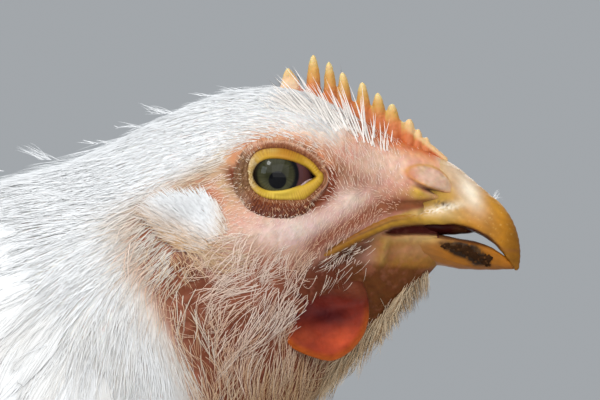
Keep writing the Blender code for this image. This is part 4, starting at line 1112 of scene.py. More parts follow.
def lid_colour(kind, share, rim, grain, lumps):
    """Colours of one row of the lids, from the angle round the eye, how far the row is
    in the lower lid and at its left end, its ribs and its beads, with painted shade
    between the ribs and where the band tucks against the eyeball."""
    phi, low, left, ribs, beads = rim
    if kind == "band":
        return layered(
            plain((0.46, 0.27, 0.018), LID_STEPS),
            ((0.40, 0.165, 0.012), 0.85 * hump((phi - 85) / 35)),
            ((0.52, 0.36, 0.10), 0.7 * hump((phi - 112) / 12) * step(0.3, 0.8, share)),
            ((0.62, 0.45, 0.055), 0.7 * hump((phi - 265) / 45)),
            ((0.42, 0.27, 0.09), 0.9 * left),
            ((0.52, 0.40, 0.22), 0.8 * hump((phi - 150) / 12) * np.clip(0.4 + lumps, 0, 1)),
            # Painted shade: darker between the ribs; the band is also darker towards its outer edge.
            ((0.20, 0.065, 0.010), 0.35 * (1 - ribs) * step(0.1, 0.5, share) + 0.30 * step(0.7, 1.0, share)),
            ((0.60, 0.48, 0.28), left * (0.2 + 0.9 * grain)),
            ((0.16, 0.075, 0.03), np.clip(left * (-0.25 - 0.9 * grain), 0, 0.7)),
            # Painted shade: the rows that tuck down against the eyeball are near black.
            ((0.08, 0.03, 0.015), 0.8 * step(0.02, -0.2, share)),
        )
    if kind == "bead":
        return layered(
            plain((0.17, 0.05, 0.018), LID_STEPS),
            ((0.40, 0.19, 0.07), 0.6 * beads * step(0.1, 0.45, share) * (1 - 0.7 * low)),
            ((0.14, 0.065, 0.025), 0.9 * left),
            ((0.26, 0.10, 0.03), np.clip(low * (0.35 + 0.5 * grain), 0, 1) * (1 - left)),
            ((0.44, 0.30, 0.15), left * (0.9 * grain - 0.15)),
        )
    upper = blend(plain((0.30, 0.10, 0.04), LID_STEPS), (0.56, 0.34, 0.24), share)
    lower = blend(plain((0.12, 0.024, 0.005), LID_STEPS), (0.085, 0.014, 0.003), share)
    lower = blend(lower, (0.26, 0.085, 0.02), np.clip(0.9 * grain - 0.15, 0, 0.8) * (1 - 0.6 * share))
    colour = layered(
        blend(upper, lower, low),
        ((0.12, 0.05, 0.016), 0.95 * left),
        ((0.50, 0.34, 0.16), np.clip(left * (0.9 * grain - 0.35), 0, 1) * (share < 0.7)),
    )
    return colour * (1 + 0.25 * np.clip(grain, -1, 1))[:, None]


def make_lids(name, side, tree, lashes):
    """The thick yellow rims of both lids, finely ribbed, in the bare skin round them."""
    edge = closed_curve(LID_EDGE, LID_STEPS)
    ahead = unit(np.roll(edge, -6, axis=0) - np.roll(edge, 6, axis=0))
    out = np.stack([ahead[:, 1], -ahead[:, 0]], axis=1)
    for _ in range(30):
        out = (np.roll(out, 1, axis=0) + out + np.roll(out, -1, axis=0)) / 3
    out = unit(out)
    phi = np.degrees(np.arctan2(edge[:, 1] - 0.2, (edge[:, 0] - 1.3) / 1.5)) % 360
    band, skin = np.interp(phi, *LID_BAND), np.interp(phi, *LID_SKIN)
    low = step(200, 225, phi) * step(338, 318, phi)
    left = np.clip(1.3 * np.exp(-(((phi - 178) / 34) ** 4)), 0, 1)
    arc = np.concatenate([[0], np.cumsum(np.hypot(*np.diff(edge, axis=0).T))])
    uneven = 1.8 * np.sin(arc * 0.7) + 1.3 * np.sin(arc * 1.9 + 1.0) + 0.8 * np.sin(arc * 4.3)
    ribs = 0.5 + 0.5 * np.cos(arc / 0.46 * 2 * math.pi + uneven) * (0.6 + 0.4 * np.sin(arc * 1.3))
    beads = 0.5 + 0.5 * np.cos(arc / 0.62 * 2 * math.pi + 1.4 * np.sin(arc * 0.9) + 1.1 * np.sin(arc * 2.3))
    profile = []
    for share, high in BAND_ROWS:
        front = step(0.0, 0.3, share) * (0.4 + 0.6 * share)
        profile.append((band * share, high * (1 - 0.35 * left) + 0.10 * (ribs - 0.5) * front, "band", share))
    for share, high in BEAD_ROWS:
        knob = 0.22 * (beads - 0.6) * (1 - abs(share - 0.4)) * (1 - 0.8 * low)
        profile.append((band + BEAD_WIDTH * share, high * (1 - 0.4 * low) + knob, "bead", share))
    for share, high in FOLD_ROWS:
        flush = 0.30 * step(0.35, 1.0, share) * (1 - low)
        rise = high * (0.25 + 0.85 * low) * (1 - 0.4 * share) - flush
        profile.append((band + BEAD_WIDTH + skin * share, rise, "skin", share))
    profile += [(band * 0.8, -2.4, "skin", 1.0), (band * 0.1, -2.4, "skin", 1.0)]
    points, colours = [], []
    for reach, high, kind, share in profile:
        at = edge + out * reach[:, None]
        place, _ = side_points(tree, EYES_X + at[:, 0], EYES_Z + at[:, 1], side)
        over_eye = step(6.3, 5.7, np.hypot(at[:, 0] - EYE_X, at[:, 1] - EYE_Z))
        level = np.maximum(np.abs(place[:, 1]), (eye_level(at[:, 0], at[:, 1]) + 0.12) * over_eye)
        spot = np.stack([at[:, 0], at[:, 1], np.full(LID_STEPS, 7.0)], axis=1)
        grain = ripple(spot, 0.75, 62) + 0.6 * ripple(spot, 0.42, 63)
        lumps = np.clip(ripple(spot, 1.5, 64), -0.5, 1)
        rough = (0.02 + 0.14 * left) * (share > 0.1) if kind == "band" else 0.05 + 0.16 * low
        flakes = 0.30 * left * np.clip(lumps, 0, 1) * (0 < share < 1)
        place[:, 1] = side * (level + high + rough * (share < 1) * grain + flakes)
        points.append(place)
        colours.append(lid_colour(kind, share, (phi, low, left, ribs, beads), grain, lumps))
    for row, count, first, last, short, long, tint in LASH_ROWS:
        pick = rng.choice(np.flatnonzero((phi > first) & (phi < last)), count)
        way = np.stack([out[pick, 0] + 0.2, np.zeros(count), out[pick, 1]], axis=1)
        way += rng.normal(0, 0.28, (count, 3)) * np.array((1, 0, 1))
        base = points[row][pick] + rng.normal(0, 0.12, (count, 3)) * np.array((1, 0, 1))
        tints = plain(tint, count) * rng.uniform(0.75, 1.1, count)[:, None]
        uv = side_uv(3.7, side, 1.3, 4.98, 0.02 * way[:, 0])
        length, rise = rng.uniform(short, long, count), rng.uniform(0.1, 0.35, count)
        loose_strands(lashes, base, plain((0, side, 0), count), way, length, rise, 0.07, tints, uv, steps=4)
    rings = np.array(points)
    last = (len(rings) - 1) * LID_STEPS
    ring = np.arange(LID_STEPS)
    after = (ring + 1) % LID_STEPS
    faces = [grid_faces(len(rings), LID_STEPS), np.stack([last + ring, last + after, after, ring], axis=1)]
    colours = np.clip(np.concatenate(colours), 0.005, 0.9)
    make_object(name, rings.reshape(-1, 3), faces, WET, colours, None)
    make_third_lid("third_lid_" + name, side)


def make_third_lid(name, side):
    """The pale fold in the front corner of the eye."""
    share = np.linspace(0, 1, 30)
    x, z = 4.7 + 2.6 * share, -1.78 + 1.15 * share**1.4 + 0.22 * np.sin(math.pi * share)
    path = world(x, side * np.maximum(eye_level(x, z) + 0.14, 13.5), z)
    size = 0.40 * np.sin(math.pi * (0.06 + 0.86 * share)) ** 0.9 * (0.75 + 0.35 * share)
    points, faces = close_loft(tube_rings(path, np.stack([size, 0.7 * size], axis=1), 16))
    colours = plain((0.38, 0.27, 0.27), len(points)) * (1 + 0.35 * ripple(points, 0.7, 60))[:, None]
    make_object(name, points, faces, WET, colours, None)


UPPER_BILL = np.array(
    (
        (27.0, 3.4, 25.0, -9.3, 5.6),
        (31.0, 3.6, 28.5, -9.2, 6.4),
        (34.4, 2.1, 32.3, -9.3, 6.6),
        (37.2, -0.2, 35.5, -9.8, 6.1),
        (40.3, -2.8, 38.6, -11.0, 5.2),
        (43.4, -5.5, 41.4, -12.6, 4.1),
        (45.5, -8.6, 43.3, -14.5, 2.9),
        (46.7, -12.2, 44.6, -16.2, 1.9),
        (46.95, -15.4, 45.3, -17.2, 1.2),
        (46.7, -17.9, 46.0, -18.2, 0.5),
    )
)
LOWER_BILL = np.array(
    (
        (18.5, -12.8, 19.5, -18.3, 7.6),
        (22.0, -11.6, 22.5, -17.9, 7.4),
        (26.5, -11.0, 27.0, -17.2, 6.6),
        (31.0, -11.2, 31.3, -17.2, 5.6),
        (35.0, -11.9, 35.3, -17.8, 4.6),
        (38.8, -12.7, 39.0, -18.0, 3.7),
        (42.0, -14.0, 42.0, -18.0, 2.6),
        (44.6, -16.0, 44.4, -17.9, 1.4),
        (45.8, -17.4, 45.7, -17.9, 0.4),
    )
)
MOUTH_STRIP = np.array(
    (
        (37.0, -8.6, 0.9),
        (33.0, -7.8, 1.5),
        (29.0, -8.1, 1.2),
        (25.5, -8.3, 1.15),
        (22.3, -8.7, 1.15),
        (19.3, -9.8, 1.15),
        (16.3, -11.3, 1.1),
        (13.3, -12.9, 0.95),
        (10.6, -14.4, 0.8),
        (9.0, -15.3, 0.3),
    )
)


def close_loft(rings):
    """Points and faces of a closed loft over rings (r, c, 3)."""
    r, c = rings.shape[:2]
    ends = np.stack([rings[0].mean(axis=0), rings[-1].mean(axis=0)])
    k = np.arange(c)
    after = (k + 1) % c
    last = (r - 1) * c
    front = np.stack([after, k, np.full(c, r * c)], axis=1)
    back = np.stack([k + last, after + last, np.full(c, r * c + 1)], axis=1)
    return np.concatenate([rings.reshape(-1, 3), ends]), [grid_faces(r, c), np.concatenate([front, back])]


def bill_loft(table, level, above, below, rings=70, columns=56):
    """A closed loft through a bill's sections. level, above and below are the height of
    the widest part and the fullness over and under it."""
    values = spline(table, np.linspace(0, len(table) - 1, rings))
    values = np.repeat(np.concatenate([values, plain((level, above, below), rings)], axis=1), columns, axis=0)
    return close_loft(section(values, np.tile(around(columns), rings)).reshape(rings, columns, 3))


def fused(name, parts, voxel, passes, colour_of, material, stands_for=(), displace=None):
    """Closed lofts made one skin by a fine remesh, smoothed, and coloured by place."""
    made = bmesh.new()
    for points, faces in parts:
        verts = [made.verts.new(p * MM) for p in points]
        for block in faces:
            for face in block:
                made.faces.new([verts[i] for i in face])
    bmesh.ops.recalc_face_normals(made, faces=made.faces)
    mesh = bpy.data.meshes.new(name)
    made.to_mesh(mesh)
    made.free()
    obj = link(name, mesh)
    remesh = obj.modifiers.new("remesh", "REMESH")
    remesh.mode = "VOXEL"
    remesh.voxel_size = voxel * MM
    if passes:
        smooth = obj.modifiers.new("smooth", "SMOOTH")
        smooth.iterations = passes
        smooth.factor = 0.5
    graph = bpy.context.evaluated_depsgraph_get()
    mesh = bpy.data.meshes.new_from_object(obj.evaluated_get(graph))
    obj.modifiers.clear()
    obj.data = mesh

    def read(key):
        values = np.zeros(len(mesh.vertices) * 3)
        mesh.vertices.foreach_get(key, values)
        return values.reshape(-1, 3)

    points, normals = read("co") / MM, read("normal")
    if displace:
        points = points + normals * displace(points)[:, None]
    points[:, 2] = np.maximum(points[:, 2], LOWEST)
    mesh.vertices.foreach_set("co", (points * MM).ravel())
    mesh.update()
    mesh.polygons.foreach_set("use_smooth", np.ones(len(mesh.polygons), bool))
    dress(obj, np.clip(colour_of(points, normals), 0.003, 0.95), material, stands_for)


def strip_path(tree, side):
    """The path of the horny strip along the mouth, and half its height."""
    x, z, half = spline(MOUTH_STRIP, np.linspace(0, len(MOUTH_STRIP) - 1, 60)).T
    at, _ = side_points(tree, EYES_X + np.minimum(x, 28.0), EYES_Z + z, side)
    share = step(24.0, 31.0, x)
    y = (np.abs(at[:, 1]) - 0.3) * (1 - share) + (6.2 - 2.4 * step(31.0, 37.0, x)) * share
    return world(x, y * side, z), half


UPPER_BILL_SPOTS = (
    ((0.50, 0.33, 0.14), 0.8, 31.5, -7.2, 4.5, 1.0, -6),
    # The pale spots at 33.6, 1.0 and at 37.2, -3.0 are pale horn with a painted highlight along the top of
    # the bill.
    ((0.60, 0.43, 0.29), 0.9, 33.6, 1.0, 3.4, 2.2, -30),
    ((0.36, 0.14, 0.04), 0.9, 34.9, -1.9, 0.8, 1.9, 22),
    ((0.86, 0.76, 0.60), 0.97, 37.2, -3.0, 2.1, 3.9, 32),
    ((0.70, 0.55, 0.36), 0.8, 33.8, -5.6, 3.4, 0.9, 16),
    ((0.50, 0.23, 0.02), 0.8, 42.0, -5.2, 3.0, 1.8, -45),
)


def upper_bill_colour(points, normals):
    """Horn colour of the upper bill and the ridge along the mouth, with a painted highlight along its top,
    and painted shade along the ridge's edges and on the palate.
    """
    x, z = from_eyes(points)
    aside = np.abs(points[:, 1])
    edge = z - np.interp(x, (8, 16, 22, 28, 38, 44), (-15.5, -11.5, -9.0, -8.2, -9.5, -13.5))
    cut = z - np.interp(x, (33, 38, 44), (-9.5, -10.8, -14.6))
    dirt = 0.95 * bump(x, z, 31.8, -5.3, 2.2, 0.65, -8) * np.clip(0.7 + ripple(points, 1.2, 20), 0, 1)
    crust = bump(x, z, 31.2, -6.3, 3.6, 0.65, 10) * np.clip(0.6 + 1.6 * ripple(points, 0.9, 28), 0, 1)
    specks = np.clip(ripple(points, 1.1, 26) * 2.6 - 1.15, 0, 1)
    colour = layered(plain((0.46, 0.185, 0.014), len(points)), ((0.42, 0.235, 0.03), step(38, 31, x)))
    colour = spotted(colour, x, z, UPPER_BILL_SPOTS)
    colour = layered(
        colour,
        ((0.22, 0.085, 0.006), 0.97 * step(42.0, 46.6, x - 0.25 * (z + 12))),
        ((0.34, 0.17, 0.016), 0.8 * step(30, 25, x)),
        ((0.22, 0.088, 0.004), 0.95 * step(23, 14, x)),
        # Painted shade: dark lines along the horny strip's edges and down its middle, where its ridges meet.
        ((0.13, 0.045, 0.008), 0.8 * hump((edge - 0.45) / 0.22) * step(27, 22, x)),
        ((0.20, 0.08, 0.02), 0.8 * hump((edge + 0.9) / 0.40) * step(31, 24, x)),
        ((0.22, 0.075, 0.02), 0.75 * hump((edge - 1.0) / 0.35) * step(29, 22, x)),
        ((0.22, 0.08, 0.02), 0.6 * hump((cut - 0.3) / 0.3) * step(30, 34, x)),
        # Painted shade: the palate and the inside of the closed bill are near black.
        ((0.05, 0.006, 0.005), step(-0.2, -0.8, normals[:, 2]) * step(6.4, 4.8, aside) * step(45, 40, x)),
        ((0.05, 0.006, 0.005), step(5.0, 4.2, aside) * step(-8.2, -9.0, z) * step(42, 38, x)),
        ((0.035, 0.015, 0.006), dirt),
        ((0.80, 0.72, 0.60), 0.9 * crust),
        ((0.74, 0.48, 0.16), specks * 0.7 * bump(x, z, 41, -8, 5, 4)),
    )
    streak = np.sin((z * 0.75 + x * 0.65) * 4.2 + 1.5 * np.sin(x * 0.9))
    colour *= (1 + 0.05 * streak)[:, None]
    return colour * (1 + 0.08 * ripple(points, 3.0, 21) + 0.06 * ripple(points, 1.0, 22))[:, None]


DIRT_PATCH = (
    (31.2, -12.7), (34.8, -12.4), (38.4, -13.2), (40.8, -15.6), (41.2, -17.2), (38.0, -17.1), (36.4, -15.9),
    (34.2, -15.2), (32.2, -14.0),
)


def lower_bill_colour(points, normals):
    """Horn colour of the lower bill, with the dried dirt on its sides, and painted shade on its top inside
    the closed mouth.
    """
    x, z = from_eyes(points)
    rough = np.clip(1.15 + 0.8 * ripple(points, 1.4, 23), 0, 1)
    specks = np.clip(ripple(points, 1.0, 24) * 3.0 - 1.5, 0, 1) * step(34, 40, x)
    top = step(0.2, 0.8, normals[:, 2]) * step(0.5, 1.5, 7 - np.abs(points[:, 1]))
    colour = layered(
        plain((0.36, 0.125, 0.010), len(points)),
        ((0.28, 0.115, 0.03), step(34, 27, x)),
        ((0.46, 0.28, 0.09), 0.8 * bump(x, z, 29, -12.1, 7, 0.8, 2)),
        ((0.24, 0.08, 0.014), 0.7 * step(-16.4, -17.8, z)),
        ((0.14, 0.05, 0.02), 0.6 * bump(x, z, 32.0, -12.4, 1.4, 0.5, 20)),
        ((0.022, 0.009, 0.003), 1.15 * inside(x, z, DIRT_PATCH, 1.0) * rough),
        ((0.05, 0.02, 0.008), specks * 0.7),
        # Painted shade: the top of the lower bill, inside the closed mouth.
        ((0.10, 0.03, 0.015), 0.8 * top * step(43, 38, x)),
    )
    return colour * (1 + 0.10 * ripple(points, 2.6, 25))[:, None]


def make_bill(tree):
    """Both halves of the bill, the horny strips along the mouth and the dried soil."""
    parts = [bill_loft(UPPER_BILL, 0.12, 2.2, 3.2)]
    for side in SIDES.values():
        path, half = strip_path(tree, side)
        parts.append(close_loft(tube_rings(path, np.stack([half, np.minimum(half, 1.0)], axis=1), 24)))
    share, b = np.linspace(0.15, math.pi - 0.15, 24)[:, None], around(32)[None]
    palate = world(
        30.5 + 11.0 * np.cos(share),
        3.2 * np.sin(share) * np.cos(b),
        -9.6 + 1.7 * np.sin(share) * np.sin(b),
    )
    parts.append(close_loft(palate))

    def ridges(points):
        x, z = from_eyes(points)
        return 0.05 * ripple(points, 3.0, 30) + 0.03 * np.sin(z * 6 + x * 2)

    def dirt(points):
        crumbs = np.clip(0.6 + 1.2 * ripple(points, 1.2, 27), 0, 1.4)
        edge = inside(*from_eyes(points), DIRT_PATCH, 0.8)
        return ridges(points) + 0.15 * crumbs * edge * (np.abs(points[:, 1]) > 1.5)

    fused("bill_horn_upper", parts, 0.26, 4, upper_bill_colour, HORN, ("bill_upper",), ridges)
    lower = bill_loft(LOWER_BILL, 0.82, 3.0, 1.9)
    fused("bill_horn_lower", [lower], 0.24, 2, lower_bill_colour, HORN, ("bill_lower",), dirt)
    horn = search_tree(*lower)
    up = np.linspace(0.02, math.pi - 0.02, 7)[:, None]
    crumbs = []
    for side in np.repeat(tuple(SIDES.values()), SOIL_CRUMBS):
        share = rng.beta(1.1, 0.9)
        z = np.interp(share, (0, 0.3, 0.7, 1), (-13.1, -13.6, -15.2, -16.2))
        z = z + rng.normal(0, 0.22 + 0.5 * share**2)
        z = np.clip(z, -17.0, -12.7)
        place, _ = side_points(horn, np.array((EYES_X + 31.8 + 8.9 * share,)), np.array((EYES_Z + z,)), side)
        size = 0.16 + 0.5 * rng.uniform(0, 1) ** 2.5 * (0.6 + 0.6 * share)
        b = around(9) + rng.uniform(0, 1)
        ball = np.stack([np.sin(up) * np.cos(b), 0.55 * np.cos(up) + 0 * b, np.sin(up) * np.sin(b)], -1)
        ball *= size * (1 + 0.3 * rng.normal(0, 1, ball.shape[:2]))[..., None] * np.array((1.4, 1.0, 0.8))
        crumbs.append(close_loft(place[0] + ball))

    def soil(points, normals):
        pale = np.clip(1.5 * ripple(points, 1.3, 61) - 0.6, 0, 1)
        return blend(plain((0.030, 0.011, 0.003), len(points)), (0.16, 0.065, 0.02), pale)

    fused("dried_soil", crumbs, 0.13, 0, soil, SOIL)


SOIL_CRUMBS = 110
# Tip x, z, base x, z and half width of each point of the comb, from its back.
COMB_POINTS = (
    (2.1, 20.9, 3.4, 15.2, 2.5), (7.1, 23.4, 7.2, 14.0, 1.4), (10.1, 22.1, 10.7, 12.6, 1.3),
    (12.7, 20.1, 13.7, 11.4, 1.35), (16.5, 18.2, 17.0, 10.0, 1.4), (19.5, 16.1, 19.9, 9.0, 1.4),
    (22.2, 14.0, 22.6, 8.0, 1.45), (25.6, 11.1, 25.3, 6.6, 1.3), (27.3, 9.1, 27.1, 5.6, 1.0),
    (28.9, 7.6, 28.6, 4.8, 0.9),
)
# x, top and bottom of the comb's blade.
COMB_BLADE = np.array(
    (
        (-0.5, 16.6, 14.5), (3.5, 16.9, 14.2), (8.5, 16.0, 12.6), (12.5, 15.0, 10.2), (16.5, 14.0, 8.2),
        (20.5, 12.9, 7.0), (24.5, 10.4, 6.5), (28.5, 7.3, 4.8), (33.0, 3.5, 1.9),
    )
)
COMB_ROOT = 4.2


def comb_point(i, tip, base, wide):
    """A point of the comb, with a root that runs down the blade: its loft, and where
    its axis starts, ends and leaves the blade."""
    along = (tip - base) / np.linalg.norm(tip - base)
    root = base - along * COMB_ROOT * np.clip(wide / 1.5, 0.5, 1.0) * np.array((0.3, 1.0))
    length = np.linalg.norm(tip - base) / np.linalg.norm(tip - root)
    share = np.linspace(0, 1, 34)
    cut = 1 - length
    beyond = np.clip((share - cut) / (1 - cut), 0, 1)
    swell = np.sqrt(np.clip(1 - beyond**3.6, 0.003, 1)) * (1.12 - (0.75 if i == 0 else 0.30) * beyond)
    swell *= step(-0.15, 0.25, share) * 0.25 + 0.75
    centre = root + (tip - root) * share[:, None]
    c = around(20)[None]
    grow = (wide * swell * (0.80 + 0.20 * step(cut - 0.2, cut + 0.1, share)))[:, None]
    deep = (1.45 - 0.25 * beyond) * min(1.0, wide / 1.3) * np.maximum(swell, 0.4 * np.sqrt(1 - 0.99 * beyond))
    rings = world(
        centre[:, :1] + along[1] * grow * np.cos(c),
        0.25 * math.sin(i * 2.3) * beyond[:, None] ** 2 + deep[:, None] * np.sin(c),
        centre[:, 1:] - along[0] * grow * np.cos(c),
    )
    return close_loft(rings), (root, tip, length)


def make_comb():
    """A single comb: a thin blade, and points that run down it as ridges."""
    x, top, low = spline(COMB_BLADE, np.linspace(0, 8, 70)).T[:, :, None]
    half = (top - low) / 2
    thick = 1.25 * np.minimum(1.0, 0.45 + 0.2 * half)
    b = around(28)[None]
    parts = [close_loft(world(x, thick * np.sin(b), (top + low) / 2 + half * np.cos(b)))]
    axes = []
    for i, values in enumerate(COMB_POINTS):
        loft, axis = comb_point(i, np.array(values[:2]), np.array(values[2:4]), values[4])
        parts.append(loft)
        axes.append(axis)

    def colour_of(points, normals):
        x, z = from_eyes(points)
        near = np.full(len(points), 9.0)
        share = np.zeros(len(points))
        for root, tip, length in axes:
            line = tip - root
            s = np.clip(((x - root[0]) * line[0] + (z - root[1]) * line[1]) / (line @ line), 0, 1)
            away = np.hypot(x - root[0] - s * line[0], z - root[1] - s * line[1])
            share = np.where(away < near, (s - 1 + length) / length, share)
            near = np.minimum(near, away)
        on_point = step(2.2, 1.4, near)
        over = z - np.interp(x, COMB_BLADE[:, 0], COMB_BLADE[:, 1])
        first = step(5.0, 3.6, x) * step(15.5, 17.5, z)
        colour = layered(
            plain((0.46, 0.085, 0.022), len(points)),
            ((0.54, 0.15, 0.05), 0.8 * hump(near / 1.05)),
            ((0.52, 0.15, 0.045), step(-0.35, 0.15, share) * on_point),
            ((0.52, 0.28, 0.065), step(0.25, 0.7, share) * on_point),
            ((0.64, 0.50, 0.22), step(0.65, 1.0, share) * on_point),
            ((0.70, 0.52, 0.34), 0.8 * first * step(20.5, 18.0, z)),
            ((0.66, 0.44, 0.22), step(23, 27, x) * step(-1.6, -0.6, over) * 0.9),
        )
        return colour * (1 + 0.10 * ripple(points, 1.2, 31) + 0.06 * ripple(points, 2.6, 34))[:, None]

    def grains(points):
        return 0.07 * ripple(points, 0.9, 32) + 0.05 * ripple(points, 2.7, 33)

    fused("comb_flesh", parts, 0.22, 1, colour_of, COMB, ("comb",), grains)


WATTLE_CENTRE = (9.9, -26.6)
WATTLE_OUTLINE = np.array(
    (
        (17.8, -25.5), (17.4, -22.0), (15.5, -19.0), (12.0, -17.6), (8.0, -18.4), (3.8, -21.0), (0.9, -25.0),
        (0.2, -29.2), (2.8, -32.6), (7.2, -34.6), (10.8, -35.2), (14.0, -33.6), (16.4, -30.8), (17.5, -28.2),
    )
)


WATTLE_SPOTS = (
    ((0.38, 0.05, 0.014), 0.95, 12.5, -31.0, 4.5, 2.6, 30),
    ((0.24, 0.035, 0.008), 0.8, 4.5, -30.5, 3.5, 2.2),
    ((0.045, 0.002, 0.002), 0.95, 9.6, -26.4, 6.0, 2.4, -10),
)


def make_wattle(name, side, tree):
    """A soft flap that grows out of the throat's skin and hangs free below."""
    centre = np.array(WATTLE_CENTRE)
    rim = closed_curve(WATTLE_OUTLINE, 140)
    out_to_rim = np.concatenate([np.linspace(0.02, 0.9, 32), np.linspace(0.9, 1.0, 11)[1:]])
    sheets = []
    for way, share in ((1, out_to_rim), (-1, out_to_rim[::-1])):
        s = share[:, None]
        x = centre[0] + (rim[None, :, 0] - centre[0]) * s
        z = centre[1] + (rim[None, :, 1] - centre[1]) * s
        skin, _ = side_points(tree, EYES_X + x.ravel(), EYES_Z + z.ravel(), side)
        skin = np.abs(skin[:, 1]).reshape(x.shape) - 1.6
        half = 1.2 * np.sqrt(np.clip(1 - s**8, 0, 1)) * (0.70 + 0.60 * hump((s - 0.86) / 0.16))
        fold = 1.3 * hump((z + 28.0 - 0.35 * (x - centre[0])) / 2.2) * (1.1 - s)
        fold = fold + 0.25 * np.sin(x * 1.1 + z * 0.9) * (1 - s)
        free = 11.6 - 0.06 * (z - centre[1])
        sunk = step(-26.5, -20.5, z + 0.30 * (centre[0] - x))
        sheets.append(world(x, side * (free * (1 - sunk) + skin * sunk + half * way - fold), z))

    def colour_of(points, normals):
        x, z = from_eyes(points)
        deep = inside(x, z, WATTLE_OUTLINE * 0.93 + centre * 0.07, 2.2)
        level = z + 0.15 * (x - 10)
        colour = layered(
            spotted(plain((0.15, 0.012, 0.004), len(points)), x, z, WATTLE_SPOTS),
            # The darker upper part is the flap's dark red with painted shade from the jaw above it.
            ((0.055, 0.006, 0.003), 0.95 * step(-27.0, -20.5, level)),
            ((0.05, 0.004, 0.002), 0.6 * bump(x, z, 4.0, -25.0, 3.0, 4.0)),
            ((0.11, 0.026, 0.011), step(-23.5, -20.8, level)),
            ((0.46, 0.095, 0.012), 1.2 * (1 - deep) * step(-24.5, -30.0, z + 0.15 * (9 - x))),
        )
        return colour * (1 + 0.18 * ripple(points, 1.7, 41))[:, None]

    def folds(points):
        return 0.05 * ripple(points, 1.5, 42)

    parts = [close_loft(np.concatenate(sheets))]
    fused(name + "_flesh", parts, 0.29, 4, colour_of, WATTLE, (name,), folds)


# the legs
KNEE, HOCK, ANKLE = (48.0, 44.0, 166.0), (-8.0, 46.0, 98.0), (12.0, 45.0, 17.0)
THIGH_RADII = ((44.0, 32.0), (43.0, 32.0), (37.0, 29.0), (28.0, 24.0), (19.0, 17.5), (12.0, 11.0))
FOOT_RADIUS = 17.0
TOES = {
    "hind": (196.0, 17.0, 4.0, 2),
    "inner": (-30.0, 30.0, 4.4, 3),
    "middle": (4.0, 44.0, 4.7, 4),
    "outer": (38.0, 33.0, 4.3, 4),
}
CLAW_LENGTH = 11.0


SCUTE, TOE_SCUTE = 3.6, 2.7


def leg_point(values, side):
    return np.array((values[0], side * values[1], values[2]))


def tube_rings(path, radii, columns):
    """Rings along a path. radii is (n, 2), upwards and sideways."""
    ahead = unit(np.gradient(path, axis=0))
    across = unit(np.array((0.0, 1.0, 0.0)) - ahead * ahead[:, 1:2])
    up = np.cross(across, ahead)
    b = around(columns)[None]
    return (
        path[:, None]
        + up[:, None] * (radii[:, :1] * np.cos(b))[..., None]
        + across[:, None] * (radii[:, 1:] * np.sin(b))[..., None]
    )


def floor_rings(centres, way, wide, high, columns):
    """Rings round a toe's or claw's centres, square to its way over the floor."""
    b = around(columns)
    rings = centres[:, None] + np.array((-way[1], way[0], 0.0)) * (wide[:, None] * np.sin(b))[..., None]
    rings[..., 2] += high[:, None] * np.cos(b)
    return rings


def leg_colour(points, normals):
    up = points[:, 2]
    colour = layered(
        plain((0.62, 0.38, 0.10), len(points)),
        ((0.66, 0.46, 0.20), 0.5 + 0.5 * ripple(points, 16, 51)),
        ((0.34, 0.17, 0.05), 0.55 * step(0.22, 0.02, up / SCUTE % 1) * step(20, 26, up)),
        ((0.50, 0.30, 0.12), 0.35 * step(6, 0.5, up)),
    )
    return colour * (1 + 0.08 * ripple(points, 3.0, 52))[:, None]


